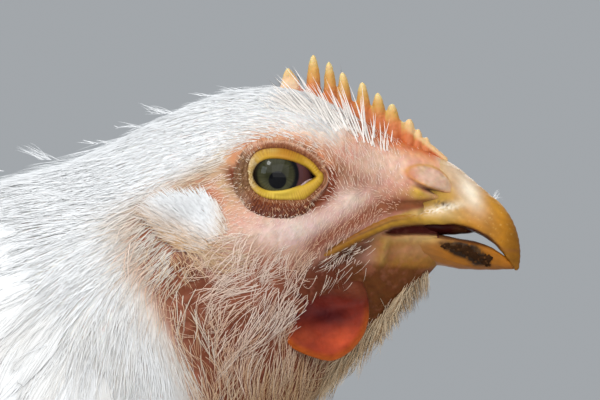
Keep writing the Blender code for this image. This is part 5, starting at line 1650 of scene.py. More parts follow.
def make_leg(name, side):
    """The scaled shank and toes as one skin, and the claws as another."""
    knee, hock, ankle = (leg_point(v, side) for v in (KNEE, HOCK, ANKLE))
    way = (hock - knee) / np.linalg.norm(hock - knee)
    over, under = hock + way * 6.5 + np.array((1.2, 0, -2.2)), ankle + np.array((1.2, 0, -10.5))
    share = np.linspace(0, 1, 90)
    path = spline(np.array([hock - way * 6.0, hock + way * 3.5, over, ankle, under]), np.linspace(0, 4, 90))
    slim = 1 - 0.24 * hump((share - 0.62) / 0.16)
    radii = np.stack([8.2 * slim, 7.3 * slim], axis=1)
    radii[:6] *= np.linspace(0.6, 1.0, 6)[:, None]
    parts, claws = [close_loft(tube_rings(path, radii, 32))], []
    ground = np.array((ankle[0], ankle[1], 0.0))
    for turn, length, radius, pads in TOES.values():
        a = math.radians(turn)
        ahead = np.array((math.cos(a), side * math.sin(a), 0.0))
        reach = np.linspace(0, FOOT_RADIUS + length - 0.2, 80)
        beyond = np.clip((reach - FOOT_RADIUS) / length, 0, 1)
        wide = np.where(
            reach < FOOT_RADIUS,
            radius * (1.25 - 0.25 * reach / FOOT_RADIUS),
            radius * (1 - 0.34 * beyond) * (1 + 0.10 * np.abs(np.sin(math.pi * beyond * pads))),
        )
        wide[-3:] *= np.array((0.97, 0.86, 0.55))
        high = wide * 0.95
        centres = ground + ahead * reach[:, None]
        centres[:, 2] = 0.88 * high
        rings = floor_rings(centres, ahead, wide, high, 28)
        rings[..., 2] = np.maximum(rings[..., 2], 0.0)
        parts.append(close_loft(rings))

        share = np.linspace(0, 1, 26)
        wide = 0.66 * radius * 0.80 * np.sqrt(np.clip(1 - share**1.7, 0.0008, 1))
        centres = ground + ahead * (FOOT_RADIUS + length - 1.0 + (CLAW_LENGTH + 1.0) * share)[:, None]
        centres[:, 2] = 0.66 * radius * 0.85 + 0.8 * share - 2.6 * share**2
        rings = floor_rings(centres, ahead, 0.85 * wide, 1.05 * wide, 20)
        rings[..., 2] = np.maximum(rings[..., 2], 0.3)
        claws.append(close_loft(rings))

    def scutes(points):
        """Overlapping plates down the front of the shank and on top of the toes."""
        up = points[:, 2]
        shank = step(20, 26, up)
        front = 0.55 + 0.45 * step(-2.0, 4.0, points[:, 0] - np.interp(up, (17, 98), (12.0, -8.0)))
        plate = ((up / SCUTE % 1) ** 0.5 - 0.6) * 0.95 * front
        flat = np.hypot(points[:, 0] - ankle[0], points[:, 1] - ankle[1])
        toe_plate = (0.6 - (flat / TOE_SCUTE % 1) ** 2) * 0.62 * step(1.5, 5.0, up)
        return plate * shank + toe_plate * (1 - shank) + 0.05 * ripple(points, 2.0, 53)

    def claw_colour(points, normals):
        far = np.hypot(points[:, 0] - ankle[0], points[:, 1] - ankle[1])
        colour = plain((0.42, 0.30, 0.17), len(points))
        return colour * (1 + 0.15 * ripple(points, 3.0, 54))[:, None] * (0.9 + 0.002 * far)[:, None]

    base = ["shank_" + name, "foot_" + name] + [f"toe_{toe}_{name}" for toe in TOES]
    fused("leg_skin_" + name, parts, 0.66, 1, leg_colour, SCALE, base, scutes)
    nodes = [f"claw_{toe}_{name}" for toe in TOES]
    fused("claws_" + name, claws, 0.42, 1, claw_colour, HORN, nodes)


# plumage
def off_limits(x, z):
    """Where no feathers grow: eyes, bill and the corner of the mouth."""
    eye = np.hypot((x - 1.2) / 9.6, (z - 0.1 + 0.10 * (x - 1.2)) / 6.9) < 1
    bill = (x > 31.5) & (z > -18)
    nose = np.hypot(*pillow(x, z)) < 1.25
    horn = (x > 12) & (x < 34) & (z < np.interp(x, (12, 16, 20, 24, 34), (-12.6, -10.0, -7.6, -6.9, -6.0)))
    horn &= z > np.interp(x, (12, 18.5, 22, 34), (-13.8, -17.2, -18.0, -17.6))
    strip = (x > 8) & (x < 13) & (np.abs(z - np.interp(x, (8, 13), (-16.2, -13.2))) < 1.3)
    return eye | bill | nose | horn | strip


def seeds_with_place(*spacing):
    """Jittered places on the body, with their points and offsets from the eyes."""
    t, a = seed_places(*spacing)
    at = surface(t, a)
    return t, a, at, *from_eyes(at)


def kept(keep, *arrays):
    return [values[keep] for values in arrays]


def make_face_bristles():
    bristles = Coat("face_bristles", "face_skin")
    t, a, _, x, z = seeds_with_place(0.72, 0.4, 5.6)
    fur, cheek = inside(x, z, FUR, 3.0), inside(x, z, BARE_CHEEK, 3.0)
    keep = (fur < 0.5) & (cheek < 0.6) & ~off_limits(x, z)
    keep &= rng.uniform(0, 1, len(t)) > 0.6 * bump(x, z, 26, 3, 5, 6) + 0.5 * step(20, 30, x)
    keep &= (z > -16.5) | (x < 12)
    keep &= (z > -4.2) | (x < 24)
    t, a, x, z = kept(keep, t, a, x, z)
    long = 1.15 + 1.3 * bump(x, z, 13, 4, 7, 6) + 1.3 * bump(x, z, 0, 8, 9, 3)
    long = long + 0.7 * bump(x, z, 10, -11, 8, 4) + 1.6 * bump(x, z, -11, 0, 3, 7)
    long = long * (1 - 0.5 * step(20, 30, x))
    jaw = z - np.interp(x, JAW_X, (-14.0, -10.0, -5.6, -4.8, -4.4))
    tint = layered(
        plain((0.84, 0.70, 0.62), len(t)),
        ((0.74, 0.50, 0.38), rng.uniform(0, 1, len(t))),
        ((0.66, 0.35, 0.21), 0.8 * hump(jaw / 2.6)),
        ((0.62, 0.40, 0.28), 0.7 * bump(x, z, 13.5, 1.0, 6, 4, -25)),
    )
    hairs(bristles, t, a, long, 0.13, 0.45, 15, colours=tint, soft=0.75, base=1.4)
    bristles.finish(BRISTLE)


# Spacing, length, width, stand, first and last station, and how strongly and how many
# feathers gather in wisps.
CROWN_PASSES = (
    (0.47, 3.8, 0.16, 0.26, 2.0, 5.25, 0.05, 8),
    (0.56, 5.4, 0.17, 0.36, 5.25, 6.45, 0.08, 9),
    (1.60, 5.6, 0.15, 0.85, 3.2, 6.9, 0.40, 8),
)
NECK_PASSES = (
    (0.68, 9.0, 0.19, 0.5, 6.35, 7.3, 0.20, 10),
    (0.92, 12.0, 0.25, 0.7, 7.2, 8.3, 0.28, 11),
    (2.4, 10.0, 0.18, 1.6, 6.4, 8.4, 0.65, 7),
    (1.28, 17.0, 0.37, 1.2, 8.1, 9.3, 0.30, 11),
)


def make_crown():
    for number, (spacing, length, width, stand, low, high, wisps, every) in enumerate(CROWN_PASSES):
        down = Coat(f"crown_feathers_{number + 1}")
        t, a, _, x, z = seeds_with_place(spacing, low, high)
        fur, cheek = inside(x, z, FUR, 4.5), inside(x, z, BARE_CHEEK, 4.0)
        keep = rng.uniform(0, 1, len(t)) < fur
        keep &= (rng.uniform(0, 1, len(t)) > cheek * 0.85) & ~off_limits(x, z)
        keep &= inside(x, z, EAR_TUFT, 1.5) < 0.5
        thin = 0.72 * bump(x, z, -15, -1.2, 9, 2.8, 27) + 0.7 * bump(x, z, -26, -11, 2.4, 7, 8)
        keep &= rng.uniform(0, 1, len(t)) > thin
        t, a, x, z = kept(keep, t, a, x, z)
        short = 1 - 0.45 * bump(x, z, 6, 9, 12, 6) - 0.3 * bump(x, z, -16, -3, 8, 4)
        hairs(down, t, a, length * short, width, stand, 8, curl=0.06, wisps=wisps, every=every, soft=0.96)
        down.finish(FEATHER)


def make_cheeks():
    """Fine hair-like feathers over the thinly covered cheek and throat."""
    for number, (spacing, length, width, stand) in enumerate(((1.2, 4.6, 0.13, 0.6), (1.3, 7.4, 0.17, 1.3))):
        coat = Coat(f"cheek_filaments_{number + 1}")
        t, a, at, x, z = seeds_with_place(spacing, 1.2, 7.6)
        cheek = inside(x, z, BARE_CHEEK, 3.0) + 0.8 * bump(x, z, 4, -17, 12, 4)
        cheek = cheek + 0.9 * bump(x, z, -7, -14, 8, 5)
        over = z - np.interp(x, *CHIN)
        jaw = (z < -17.6) & (x < 31) & (x > 6) & (over < 2.6)
        keep = ((cheek > 0.4) | jaw) & ~off_limits(x, z) & (inside(x, z, EAR_TUFT, 1.5) < 0.5)
        keep &= (x < 13) | (over < 3.0) | (z < -27)
        bald = bump(x, z, -15, -28, 4.2, 12, 18) * 0.8 + bump(x, z, 10, -25, 5.5, 7) * 0.9
        bald = bald + 0.7 * bump(x, z, -17, -18.5, 7, 3.0, -38) + 0.95 * bump(x, z, 13, -17.5, 7, 3.4, 24)
        bald = bald + 0.9 * bump(x, z, 19, -21.5, 5.5, 3.0, 30) * (over > 3.0)
        keep &= rng.uniform(0, 1, len(t)) > bald
        t, a, x, z, at, over = kept(keep, t, a, x, z, at, over)
        patchy = np.clip(0.45 + 0.25 * number + 0.9 * ripple(at, 6.5, 70), 0, 1) * rng.uniform(0.5, 1, len(t))
        tint = layered(
            plain((0.64, 0.36, 0.22), len(t)),
            ((0.92, 0.80, 0.71), patchy),
            ((0.40, 0.20, 0.11), 0.7 * np.clip(0.8 * ripple(at, 5.0, 71) - 0.1, 0, 1)),
            ((0.50, 0.30, 0.13), 0.75 * step(-26, -40, z - 0.4 * x)),
            ((0.84, 0.66, 0.56), 0.7 * bump(x, z, -4, -18, 10, 5)),
            ((0.46, 0.25, 0.12), 0.8 * bump(x, z, -16, -27, 6.0, 13, 18)),
            ((0.80, 0.64, 0.42), 0.8 * step(3.0, 2.0, over) * step(10, 14, x)),
        )
        size = 1 - 0.45 * step(12, 26, x) * step(2.0, 3.0, over) - 0.25 * bump(x, z, 8, -17, 8, 3)
        hairs(
            coat, t, a, length * size, width, stand, 17, steps=5, colours=tint, curl=0.16,
            wisps=0.9, every=17, soft=0.85,
        )
        coat.finish(FEATHER)


def off_eyes(x, z, side, lift):
    """Points and normals of one side of the feathers' outer form, by place."""
    return side_points(OUTER, EYES_X + x, EYES_Z + z, side, lift)


def make_jaw_bristles():
    """A few pale bristles across the corner of the mouth and over the wattle."""
    coat = Coat("jaw_bristles", "face_skin")
    for side in SIDES.values():
        for count, at_x, at_z, wide, high, turn, short, long in (
            (22, 11.5, -15.6, 3.2, 1.0, 205, 2.0, 4.2), (18, 12.0, -18.8, 3.4, 1.2, 238, 2.5, 4.6),
            (16, 15.5, -13.4, 1.6, 0.7, 195, 1.0, 2.0),
        ):
            x, z = at_x + rng.normal(0, wide, count), at_z + rng.normal(0, high, count)
            base, normal = off_eyes(x, z + 0.35 * (x - at_x), side, 0.2)
            way = heading(np.radians(rng.normal(turn, 14, count)))
            colours = plain((0.84, 0.68, 0.55), count) * rng.uniform(0.6, 1.05, count)[:, None]
            length, rise = rng.uniform(short, long, count), rng.uniform(0.3, 1.0, count)
            uv = side_uv(4.2, side, 1.9, 4.4, 0 * x)
            loose_strands(coat, base, normal, way, length, rise, 0.12, colours, uv, steps=5, soft=0.5)
    coat.finish(BRISTLE)


CHIN = ((8.5, 14.8, 20.0, 24.5, 28.6, 31.0), (-41.3, -34.4, -29.0, -23.8, -19.8, -17.2))


def make_beard():
    """Cream tufts that hang from the chin, and longer locks down the front of the throat."""
    coat = Coat("chin_tufts")
    f = np.linspace(0, 1, 5)
    for side in SIDES.values():
        for count, low, high, over, turn, short, long, width in (
            (230, 19.0, 29.0, 1.5, 272, 2.2, 4.4, 0.17), (260, 12.0, 25.0, 2.6, 236, 4.0, 7.0, 0.20),
            (150, 9.0, 21.0, 2.0, 244, 5.0, 8.0, 0.20),
        ):
            x = rng.uniform(low, high, count)
            base, normal = off_eyes(x, np.interp(x, *CHIN) + rng.uniform(0.1, over, count), side, 0.05)
            way = heading(np.radians(rng.normal(turn, 11, count)), 0.12 * side)
            paths = rays(base, way, rng.uniform(short, long, count), f)
            paths += normal[:, None] * (rng.uniform(0.2, 0.8, count)[:, None] * np.sin(1.6 * f))[..., None]
            paths = gather(paths, 0.75, 8)
            dark = rng.uniform(0, 1, count) ** 1.2
            colours = blend(plain((0.86, 0.68, 0.46), count), (0.42, 0.23, 0.10), dark)
            made = strands(paths, tapered(width, f, count), normal, soft=0.75)
            coat.add(made, side_uv(4.6, side, 2.6, 3.7, 0 * x), colours)
    coat.finish(FEATHER)


def loose_strands(coat, base, normal, way, length, rise, width, colours, uv, steps, soft=0.6):
    """Strands from given roots along given ways, which arch off the skin."""
    f = np.linspace(0, 1, steps)
    paths = rays(base, in_skin(way, normal), length, f)
    paths += normal[:, None] * (rise[:, None] * np.sin(f * 2.2))[..., None]
    coat.add(strands(paths, tapered(width, f, len(base)), normal, soft=soft), uv, colours)


def make_ear_tufts():
    """A fan of soft hairs over each ear, from its lower front corner."""
    tufts = Coat("ear_tufts")
    corner = (-5.0, -16.0)
    for side in SIDES.values():
        x, z = rng.uniform(-25, -7, 9000), rng.uniform(-18.5, -4.5, 9000)
        warm = step(-12.5, -8.5, x - 0.35 * (z + 10)) + step(-11.5, -15.0, z)
        keep = rng.uniform(0, 1, len(x)) < inside(x, z, EAR_TUFT, 1.6) * (1 - 0.6 * np.clip(warm, 0, 1))
        x, z = x[keep][:2400], z[keep][:2400]
        count = len(x)
        base, normal = off_eyes(x, z, side, -0.25)
        way = heading(np.arctan2(z - corner[1], x - corner[0]) + np.radians(rng.normal(0, 8, count)))
        front = step(-13.0, -10.0, x)
        length = rng.uniform(2.2, 4.2, count) * (1 - 0.45 * front)
        low = np.clip(step(-8.0, -14.5, z + 0.45 * (x + 14)) + 0.8 * step(-12.5, -9.0, x), 0, 1)
        rise = rng.uniform(0.4, 1.3, count) * (1 - 0.6 * front) * (1 - 0.5 * low)
        colours = blend(plain(WHITE, count), (0.54, 0.32, 0.15), low * rng.uniform(0.4, 1, count))
        uv = side_uv(5.0 + (z + 18) / 13, side, 1.4, 4.9, 0 * x)
        loose_strands(tufts, base, normal, way, length, rise, 0.18, colours, uv, steps=4, soft=0.85)
        count = 260
        x, z = -13.0 + rng.normal(0, 4.0, count), -14.8 + rng.normal(0, 1.8, count)
        base, normal = off_eyes(x, z, side, -0.15)
        way = heading(np.radians(rng.normal(-38, 24, count) + 6 * (x + 13)))
        colours = blend(plain((0.50, 0.27, 0.12), count), (0.70, 0.54, 0.38), rng.uniform(0, 1, count))
        length, rise = rng.uniform(2.0, 4.2, count), rng.uniform(0.3, 0.9, count)
        uv = side_uv(5.0 + (z + 18) / 13, side, 1.4, 4.9, 0 * x)
        loose_strands(tufts, base, normal, way, length, rise, 0.12, colours, uv, steps=4, soft=0.8)
    tufts.finish(FEATHER)


COMB_BRISTLE_TURNS = ((0.0, 5.0, 8.6, 13.0, 16.5, 20.0, 24.0), (152, 144, 134, 120, 108, 92, 80))
COMB_BRISTLE_LENGTHS = ((0.0, 5.0, 8.6, 14.0, 17.5, 20.0, 24.0), (0.45, 0.8, 1.0, 1.1, 0.95, 0.6, 0.35))


def make_comb_bristles():
    """Stiff white bristles that rise beside the comb, and short ones at its foot."""
    coat = Coat("comb_bristles", "face_skin")
    groups = (
        (92, 3.0, 18.5, 6.0, 11.5, 0.30),
        (26, 13.0, 22.5, 4.0, 7.0, 0.24),
        (130, -2.0, 10.5, 2.6, 4.6, 0.15),
    )
    f = np.linspace(0, 1, 5)
    for side in SIDES.values():
        for count, low, high, short, long, width in groups:
            x = rng.uniform(low, high, count)
            z = np.interp(x, COMB_BLADE[:, 0], COMB_BLADE[:, 2]) + rng.uniform(-2.2, 0.6, count)
            base, _ = off_eyes(x, z, side, -0.1)
            aim = np.radians(np.interp(x, *COMB_BRISTLE_TURNS) + rng.normal(0, 9, count))
            normal = plain((0, side, 0), count)
            length = rng.uniform(short, long, count) * np.interp(x, *COMB_BRISTLE_LENGTHS)
            tint = plain((0.88, 0.82, 0.77), count) * rng.uniform(0.9, 1.03, count)[:, None]
            paths = rays(base, heading(aim, -0.42 * side), length, f)
            paths += normal[:, None] * (0.9 * np.sin(f * 1.8))[None, :, None]
            made = strands(paths, tapered(width, f, count), normal, soft=0.5)
            coat.add(made, side_uv(3.0, side, 0.4, 5.9, 0 * x), tint)
    coat.finish(BRISTLE)


WISPS = (
    (-21.0, 150, 5.5, 16), (-44.0, 142, 7.0, 18), (-53.0, 172, 9.0, 18), (-7.5, 166, 4.5, 12),
    (-12.0, 164, 3.5, 8), (-27.0, 170, 4.5, 10), (-34.0, 165, 4.0, 8),
)


def make_wisps():
    """Small loose feathers that stand off the top of the head and neck, and a tuft that
    clings to the bill."""
    coat = Coat("loose_wisps")
    f = np.linspace(0, 1, 5)
    for x, turn, length, count in WISPS:
        hit, _, _, _ = OUTER.ray_cast(Vector((EYES_X + x, -3.0, 500.0)), Vector((0, 0, -1)))
        drift = rng.normal(0, 1.3, count), rng.normal(0, 1.4, count)
        spread = np.stack([*drift, np.full(count, -0.6)], axis=1)
        aim = np.radians(turn + rng.normal(0, 9, count))
        way = heading(aim, rng.normal(0, 0.12, count))
        reach = length * rng.uniform(0.5, 1.1, count)
        paths = rays(np.array(hit) + spread, way, reach, f)
        paths[..., 2] -= 0.12 * reach[:, None] * f**2
        paths = gather(paths, 0.5, 4)
        made = strands(paths, tapered(0.2, f, count), plain((0, 0, 1), count), soft=0.7)
        uv = uv_of(np.full(count, 5.5 - x / 30), rng.uniform(0.0, 0.1, count))
        coat.add(made, uv, plain(WHITE, count))
    count = 22
    aim = np.radians(rng.normal(48, 30, count))
    base = np.array((EYES_X + 41.9, -0.6, EYES_Z - 4.3)) + rng.normal(0, 0.22, (count, 3))
    way = heading(aim, rng.normal(-0.2, 0.3, count))
    paths = rays(base, way, rng.uniform(0.7, 1.9, count), f)
    paths[..., 2] += 0.2 * np.sin(f * 3.0)
    made = strands(paths, plain(0.07 * (1 - 0.7 * f), count), plain((0.3, -0.5, 0.8), count), soft=0.6)
    coat.add(made, uv_of(np.full(count, 0.2), np.full(count, 0.1)), plain(WHITE, count))
    coat.finish(FEATHER)


def make_neck_coat():
    for number, (spacing, length, width, stand, low, high, wisps, every) in enumerate(NECK_PASSES):
        coat = Coat(f"neck_feathers_{number + 1}")
        t, a, _, x, z = seeds_with_place(spacing, low, high)
        t, a = kept(rng.uniform(0, 1, len(t)) > inside(x, z, BARE_CHEEK, 4.0) * 0.95, t, a)
        hairs(coat, t, a, length, width, stand, 8, steps=5, curl=0.07, wisps=wisps, every=every, soft=0.97)
        coat.finish(FEATHER)
    coat = Coat("neck_feathers_5")
    locks(coat, *seed_places(4.2, 8.0, 9.2), 20.0, 4.2, 1.3, 8, 9, 0.46)
    coat.finish(FEATHER)


def make_body_coat():
    for number, (low, high, spacing, length, width) in enumerate(
        ((8.9, 11.0, 5.8, 21.0, 9.0), (11.0, 13.5, 7.6, 26.0, 12.5), (13.5, 16.5, 8.9, 29.0, 14.0),
         (16.5, 20.6, 8.7, 29.0, 14.0))
    ):
        coat = Coat(f"body_feathers_{number + 1}")
        vanes(coat, *seed_places(spacing, low, high), length, width, 4.2, 7)
        coat.finish(FEATHER)


WING_ROWS = {
    "primaries": (7, (26, 184, -92, 186, 7.0, 2.2, 2.0), (22, 204, -143, 222, 7.0, 2.2, 2.0)),
    "secondaries": (13, (42, 178, -52, 164, 8.0, 4.2, 5.0), (18, 230, -114, 236, 8.0, 4.2, 5.0)),
    "greater_coverts": (12, (58, 180, -2, 163, 7.0, 5.6, 7.6), (30, 230, -52, 237, 7.0, 5.6, 7.6)),
    "median_coverts": (11, (72, 186, 30, 168, 6.5, 7.2, 9.6), (50, 232, -4, 239, 6.5, 7.2, 9.6)),
    "lesser_1": (10, (80, 190, 50, 174, 6.0, 8.2, 11.0), (62, 234, 22, 240, 6.0, 8.2, 10.6)),
    "lesser_2": (9, (88, 194, 64, 180, 5.5, 8.0, 11.4), (74, 234, 42, 240, 5.5, 8.0, 11.0)),
    "lesser_3": (8, (94, 198, 76, 188, 5.5, 6.5, 11.2), (84, 230, 58, 238, 5.5, 6.5, 11.0)),
    "shoulder_1": (12, (101, 184, 80, 174, 6.0, 0.8, 9.6), (92, 242, 66, 246, 6.0, 0.8, 9.4)),
    "shoulder_2": (11, (98, 190, 72, 180, 6.0, 2.4, 11.2), (86, 238, 60, 242, 6.0, 2.4, 11.2)),
    "scapulars_1": (13, (86, 247, 54, 236, 7.0, 0.2, 7.6), (-34, 250, -74, 243, 7.0, 0.2, 3.6)),
    "scapulars_2": (12, (80, 252, 50, 243, 7.0, 0.0, 3.6), (-30, 257, -68, 250, 7.0, 0.0, 1.8)),
    "edge": (9, (94, 180, 66, 165, 6.0, 0.2, 4.4), (46, 162, 8, 158, 6.0, 0.2, 3.6)),
}


def quill_feathers(coat, centres, normals, half, colours, uv):
    """Stiff feathers from shafts (n, rows, 3) and their normals, with loose barbs along
    both edges and a raised shaft."""
    n, rows = centres.shape[:2]
    columns = 7
    shares = np.linspace(0, 1, rows)
    to_tip = np.clip(shares - 0.72, 0, 1) / 0.285
    span = np.minimum(0.3 + 3.2 * shares, 1.0) * np.sqrt(np.clip(1 - to_tip**2, 0.02, 1))
    ahead = unit(np.gradient(centres, axis=1))
    across = unit(np.cross(normals, ahead))
    across = np.where((across[:, :, 2] > 0)[..., None], across, -across)
    column = np.linspace(-1, 1, columns)
    off = column[None, None, :] * span[None, :, None] * half[:, None, None]
    crown = 0.5 * (1 - np.abs(column) ** 0.6)[None, None, :] * (1 - 0.6 * shares)[None, :, None]
    grid = centres[:, :, None] + across[:, :, None] * off[..., None]
    grid = grid + normals[:, :, None] * (-0.15 * off + crown)[..., None]
    grid = grid - ahead[:, :, None] * (0.45 * np.abs(off) * shares[None, :, None])[..., None]
    shade = (0.94 + 0.06 * np.abs(column))[None, :].repeat(rows, 0).ravel()
    made = plates(grid, np.repeat(normals[:, :, None], columns, axis=2), 0.35)
    coat.add(made, uv, colours, np.concatenate([shade, shade]))
    f = np.linspace(-0.4, 1, 3)
    for j in range(10):
        i = int((0.35 + 0.62 * (j + 0.5) / 10) * (rows - 1))
        for way, edge in ((-1, 0), (1, columns - 1)):
            go = ahead[:, i] * rng.uniform(1.2, 2.6, n)[:, None]
            go = go + across[:, i] * (way * rng.uniform(0.2, 0.9, n))[:, None]
            paths = grid[:, i, edge][:, None] + go[:, None] * f[None, :, None]
            coat.add(strands(paths, plain((0.5, 0.4, 0.1), n), normals[:, i], 0.4), uv, colours)


def plain_piece(name, loft, material, colour, uv, stands_for=()):
    """A loft in one colour, at one place of the UV map."""
    points, faces = loft
    count = len(points)
    make_object(name, points, faces, material, plain(colour, count), plain(uv, count), stands_for)


def make_wing(name, side):
    """The wing's arm, and rows of feathers over it from the flight feathers upwards."""
    x0, z0, long, high, bulge = 42.0, 206.0, 50.0, 38.0, 11.0
    lean = math.radians(-6.0)
    rings, columns = 26, 36
    share = np.cos(np.pi * (np.arange(rings) + 0.5) / rings)
    size = ((1 - np.abs(share) ** 2.6) ** 0.4)[:, None]
    b = around(columns)
    u, v = np.repeat(long * share, columns), (high * size * np.cos(b)).ravel()
    lift = (bulge * size * np.sin(b)).ravel()
    lift = np.where(lift > 0, lift * 0.8, 0.4 * lift)
    x, z = x0 + u * math.cos(lean) - v * math.sin(lean), z0 + u * math.sin(lean) + v * math.cos(lean)
    arm, _ = side_points(OUTER, x, z, side, lift)
    v_side = 0.3 + 0.4 * (side > 0)
    loft = close_loft(arm.reshape(rings, columns, 3))
    plain_piece("wing_arm_" + name, loft, FEATHER, WHITE * 0.9, (0.5, v_side), ("wing_" + name,))
    coat = Coat("wing_feathers_" + name)
    back_line = spline(STATIONS, np.linspace(0, LAST, 200))[:, :2]
    for row, (count, first, last) in WING_ROWS.items():
        rows = 12 if row in ("primaries", "secondaries") else 8
        mix = np.linspace(0, 1, count)[:, None]
        values = np.array(first)[None] * (1 - mix) + np.array(last)[None] * mix
        values[:, 2] += rng.uniform(-1.5, 1.5, count) - 4.0 * np.sin(np.pi * mix[:, 0])
        values[:, 3] += rng.uniform(-0.8, 0.8, count)
        f = np.linspace(0, 1, rows)
        x = values[:, :1] + (values[:, 2:3] - values[:, :1]) * f
        z = values[:, 1:2] + (values[:, 3:4] - values[:, 1:2]) * f + 2.5 * np.sin(np.pi * f)
        lifts = values[:, 5:6] + (values[:, 6:7] - values[:, 5:6]) * f
        ridge = EYES_Z + np.interp(EYES_X - x, -back_line[:, 0], back_line[:, 1])
        z = np.minimum(z, ridge - 6.0 - 4.0 * f)
        centres, normals = side_points(OUTER, x.ravel(), z.ravel(), side, lifts.ravel())
        centres, normals = centres.reshape(count, rows, 3), normals.reshape(count, rows, 3)
        colours = plain(WHITE, count) * rng.uniform(0.94, 1.04, count)[:, None]
        uv = np.stack([0.3 + 0.4 * mix[:, 0], np.full(count, v_side)], axis=1)
        quill_feathers(coat, centres, normals, values[:, 4] * rng.uniform(0.95, 1.1, count), colours, uv)
    coat.finish(FEATHER)


# Rows of the tail: count, angles from straight back upwards, lengths, half width, how
# far out the first and last feather root, and where they start along their ways.
TAIL_FANS = (
    (8, (13.0, 54.0), (98.0, 108.0), 11.0, (19.0, 2.2), 26.0),
    (7, (8.0, 58.0), (60.0, 70.0), 9.0, (23.0, 4.6), 20.0),
    (6, (4.0, 62.0), (40.0, 48.0), 7.5, (26.0, 7.0), 16.0),
    (7, (-6.0, 64.0), (30.0, 38.0), 7.5, (25.5, 7.0), -4.0),
)


def make_tail():
    root = body(np.full(40, float(LAST)), around(40))
    centre = root.mean(axis=0)
    rise = math.radians(34)
    along = np.array((-math.cos(rise), 0, math.sin(rise))) * 36.0
    stub = ((-0.1, 1.0), (0.25, 0.86), (0.55, 0.66), (0.8, 0.42), (0.95, 0.2))
    loft = close_loft(np.array([centre + along * share + (root - centre) * size for share, size in stub]))
    plain_piece("tail_stub", loft, FEATHER, WHITE * 0.9, (0.98, 0.5), ("tail",))
    coat = Coat("tail_feathers")
    f = np.linspace(0, 1, 12)
    for side in SIDES.values():
        for count, angles, lengths, half, outs, start in TAIL_FANS:
            share = np.linspace(0, 1, count)
            angle = np.radians(angles[0] + (angles[1] - angles[0]) * share + rng.uniform(-1, 1, count))
            longer = np.sin(np.pi * np.minimum(share + 0.15, 1.0) * 0.6)
            length = lengths[0] + (lengths[1] - lengths[0]) * longer
            out = outs[0] + (outs[1] - outs[0]) * share**0.8
            ahead = np.stack([-np.cos(angle), side * 0.10 * (1 - share), np.sin(angle)], axis=1)
            roof = 0.1 + 0.2 * share
            facing = roof * np.sin(angle), np.full(count, side), roof * np.cos(angle)
            normal = unit(np.stack(facing, axis=1))
            reach = start + (length - start)[:, None] * f
            origin = np.stack([np.full(count, -120.0), side * out, np.full(count, 242.0)], axis=1)
            centres = origin[:, None] + ahead[:, None] * reach[..., None]
            centres[:, :, 2] -= 3.0 * f**2
            colours = plain(WHITE, count) * rng.uniform(0.94, 1.03, count)[:, None]
            uv = np.stack([np.full(count, 0.97), 0.1 + 0.8 * share], axis=1)
            normals = np.repeat(normal[:, None], len(f), axis=1)
            quill_feathers(coat, centres, normals, np.full(count, half), colours, uv)
    coat.finish(FEATHER)


def make_thigh(name, side):
    """The feathered drumstick, with its own skin and vanes lying down it."""
    knee, hock = leg_point(KNEE, side), leg_point(HOCK, side)
    long = np.linalg.norm(hock - knee)
    way = (hock - knee) / long
    table = np.array(THIGH_RADII)
    v_side = 0.35 + 0.3 * (side > 0)
    share = np.linspace(0, 1, 40)
    radii = spline(table, share * (len(table) - 1))
    loft = close_loft(tube_rings(knee + (hock - knee) * share[:, None], radii - 2.6, 48))
    plain_piece("thigh_skin_" + name, loft, SKIN, (0.70, 0.68, 0.64), (0.6, v_side))
    coat = Coat("thigh_feathers_" + name)
    across = np.array((0.0, 1.0, 0.0))
    up = np.cross(across, way)
    f = np.linspace(0, 1, 5)
    for i, s in enumerate(np.linspace(0.12, 0.97, 17)):
        radius = spline(table, np.array([s * 5]))[0]
        count = int(2 * math.pi * radius.mean() / (6.5 - 3.0 * s))
        b = (np.arange(count) + 0.5 * (i % 2) + rng.uniform(-0.3, 0.3, count)) / count * 2 * math.pi
        length = (22 - 12 * s) * rng.uniform(0.85, 1.15, count)
        reach = s + length[:, None] * f / long
        over = np.clip(reach, 0, 1)
        size = spline(table, (over * 5).ravel()).reshape(count, 5, 2)
        middle = knee + (hock - knee) * over[..., None] + way * ((reach - over) * long)[..., None]
        cos, sin = np.cos(b)[:, None], np.sin(b)[:, None]
        spoke = np.repeat(up * cos[..., None] + across * sin[..., None], 5, axis=1)
        place = middle + up * (size[..., 0] * cos)[..., None] + across * (size[..., 1] * sin)[..., None]
        place = place + spoke * (-2.4 + 2.6 * f)[None, :, None]
        spans = np.array((0.35, 0.85, 1.0, 0.85, 0.4)) * (12 - 6 * s) / 2
        tangent = unit(np.cross(way, spoke))
        offs = spans[:, None] * np.array((-1.0, 0.0, 1.0))
        grid = place[:, :, None] + tangent[:, :, None] * offs[None, :, :, None]
        grid[:, :, 1] += spoke * 0.4
        colours = plain(WHITE, count) * rng.uniform(0.94, 1.03, count)[:, None]
        made = plates(grid, np.repeat(spoke[:, :, None], 3, axis=2), 0.22)
        coat.add(made, plain((0.55 + 0.1 * s, v_side), count), colours)
    coat.finish(FEATHER)


# stage
PIXEL = 0.19
PHOTO_SIZE = (600, 400)
EYE_PIXEL = (276, 176)
CAMERA_DISTANCE = 1.15
NEAR_CHEEK = -0.014


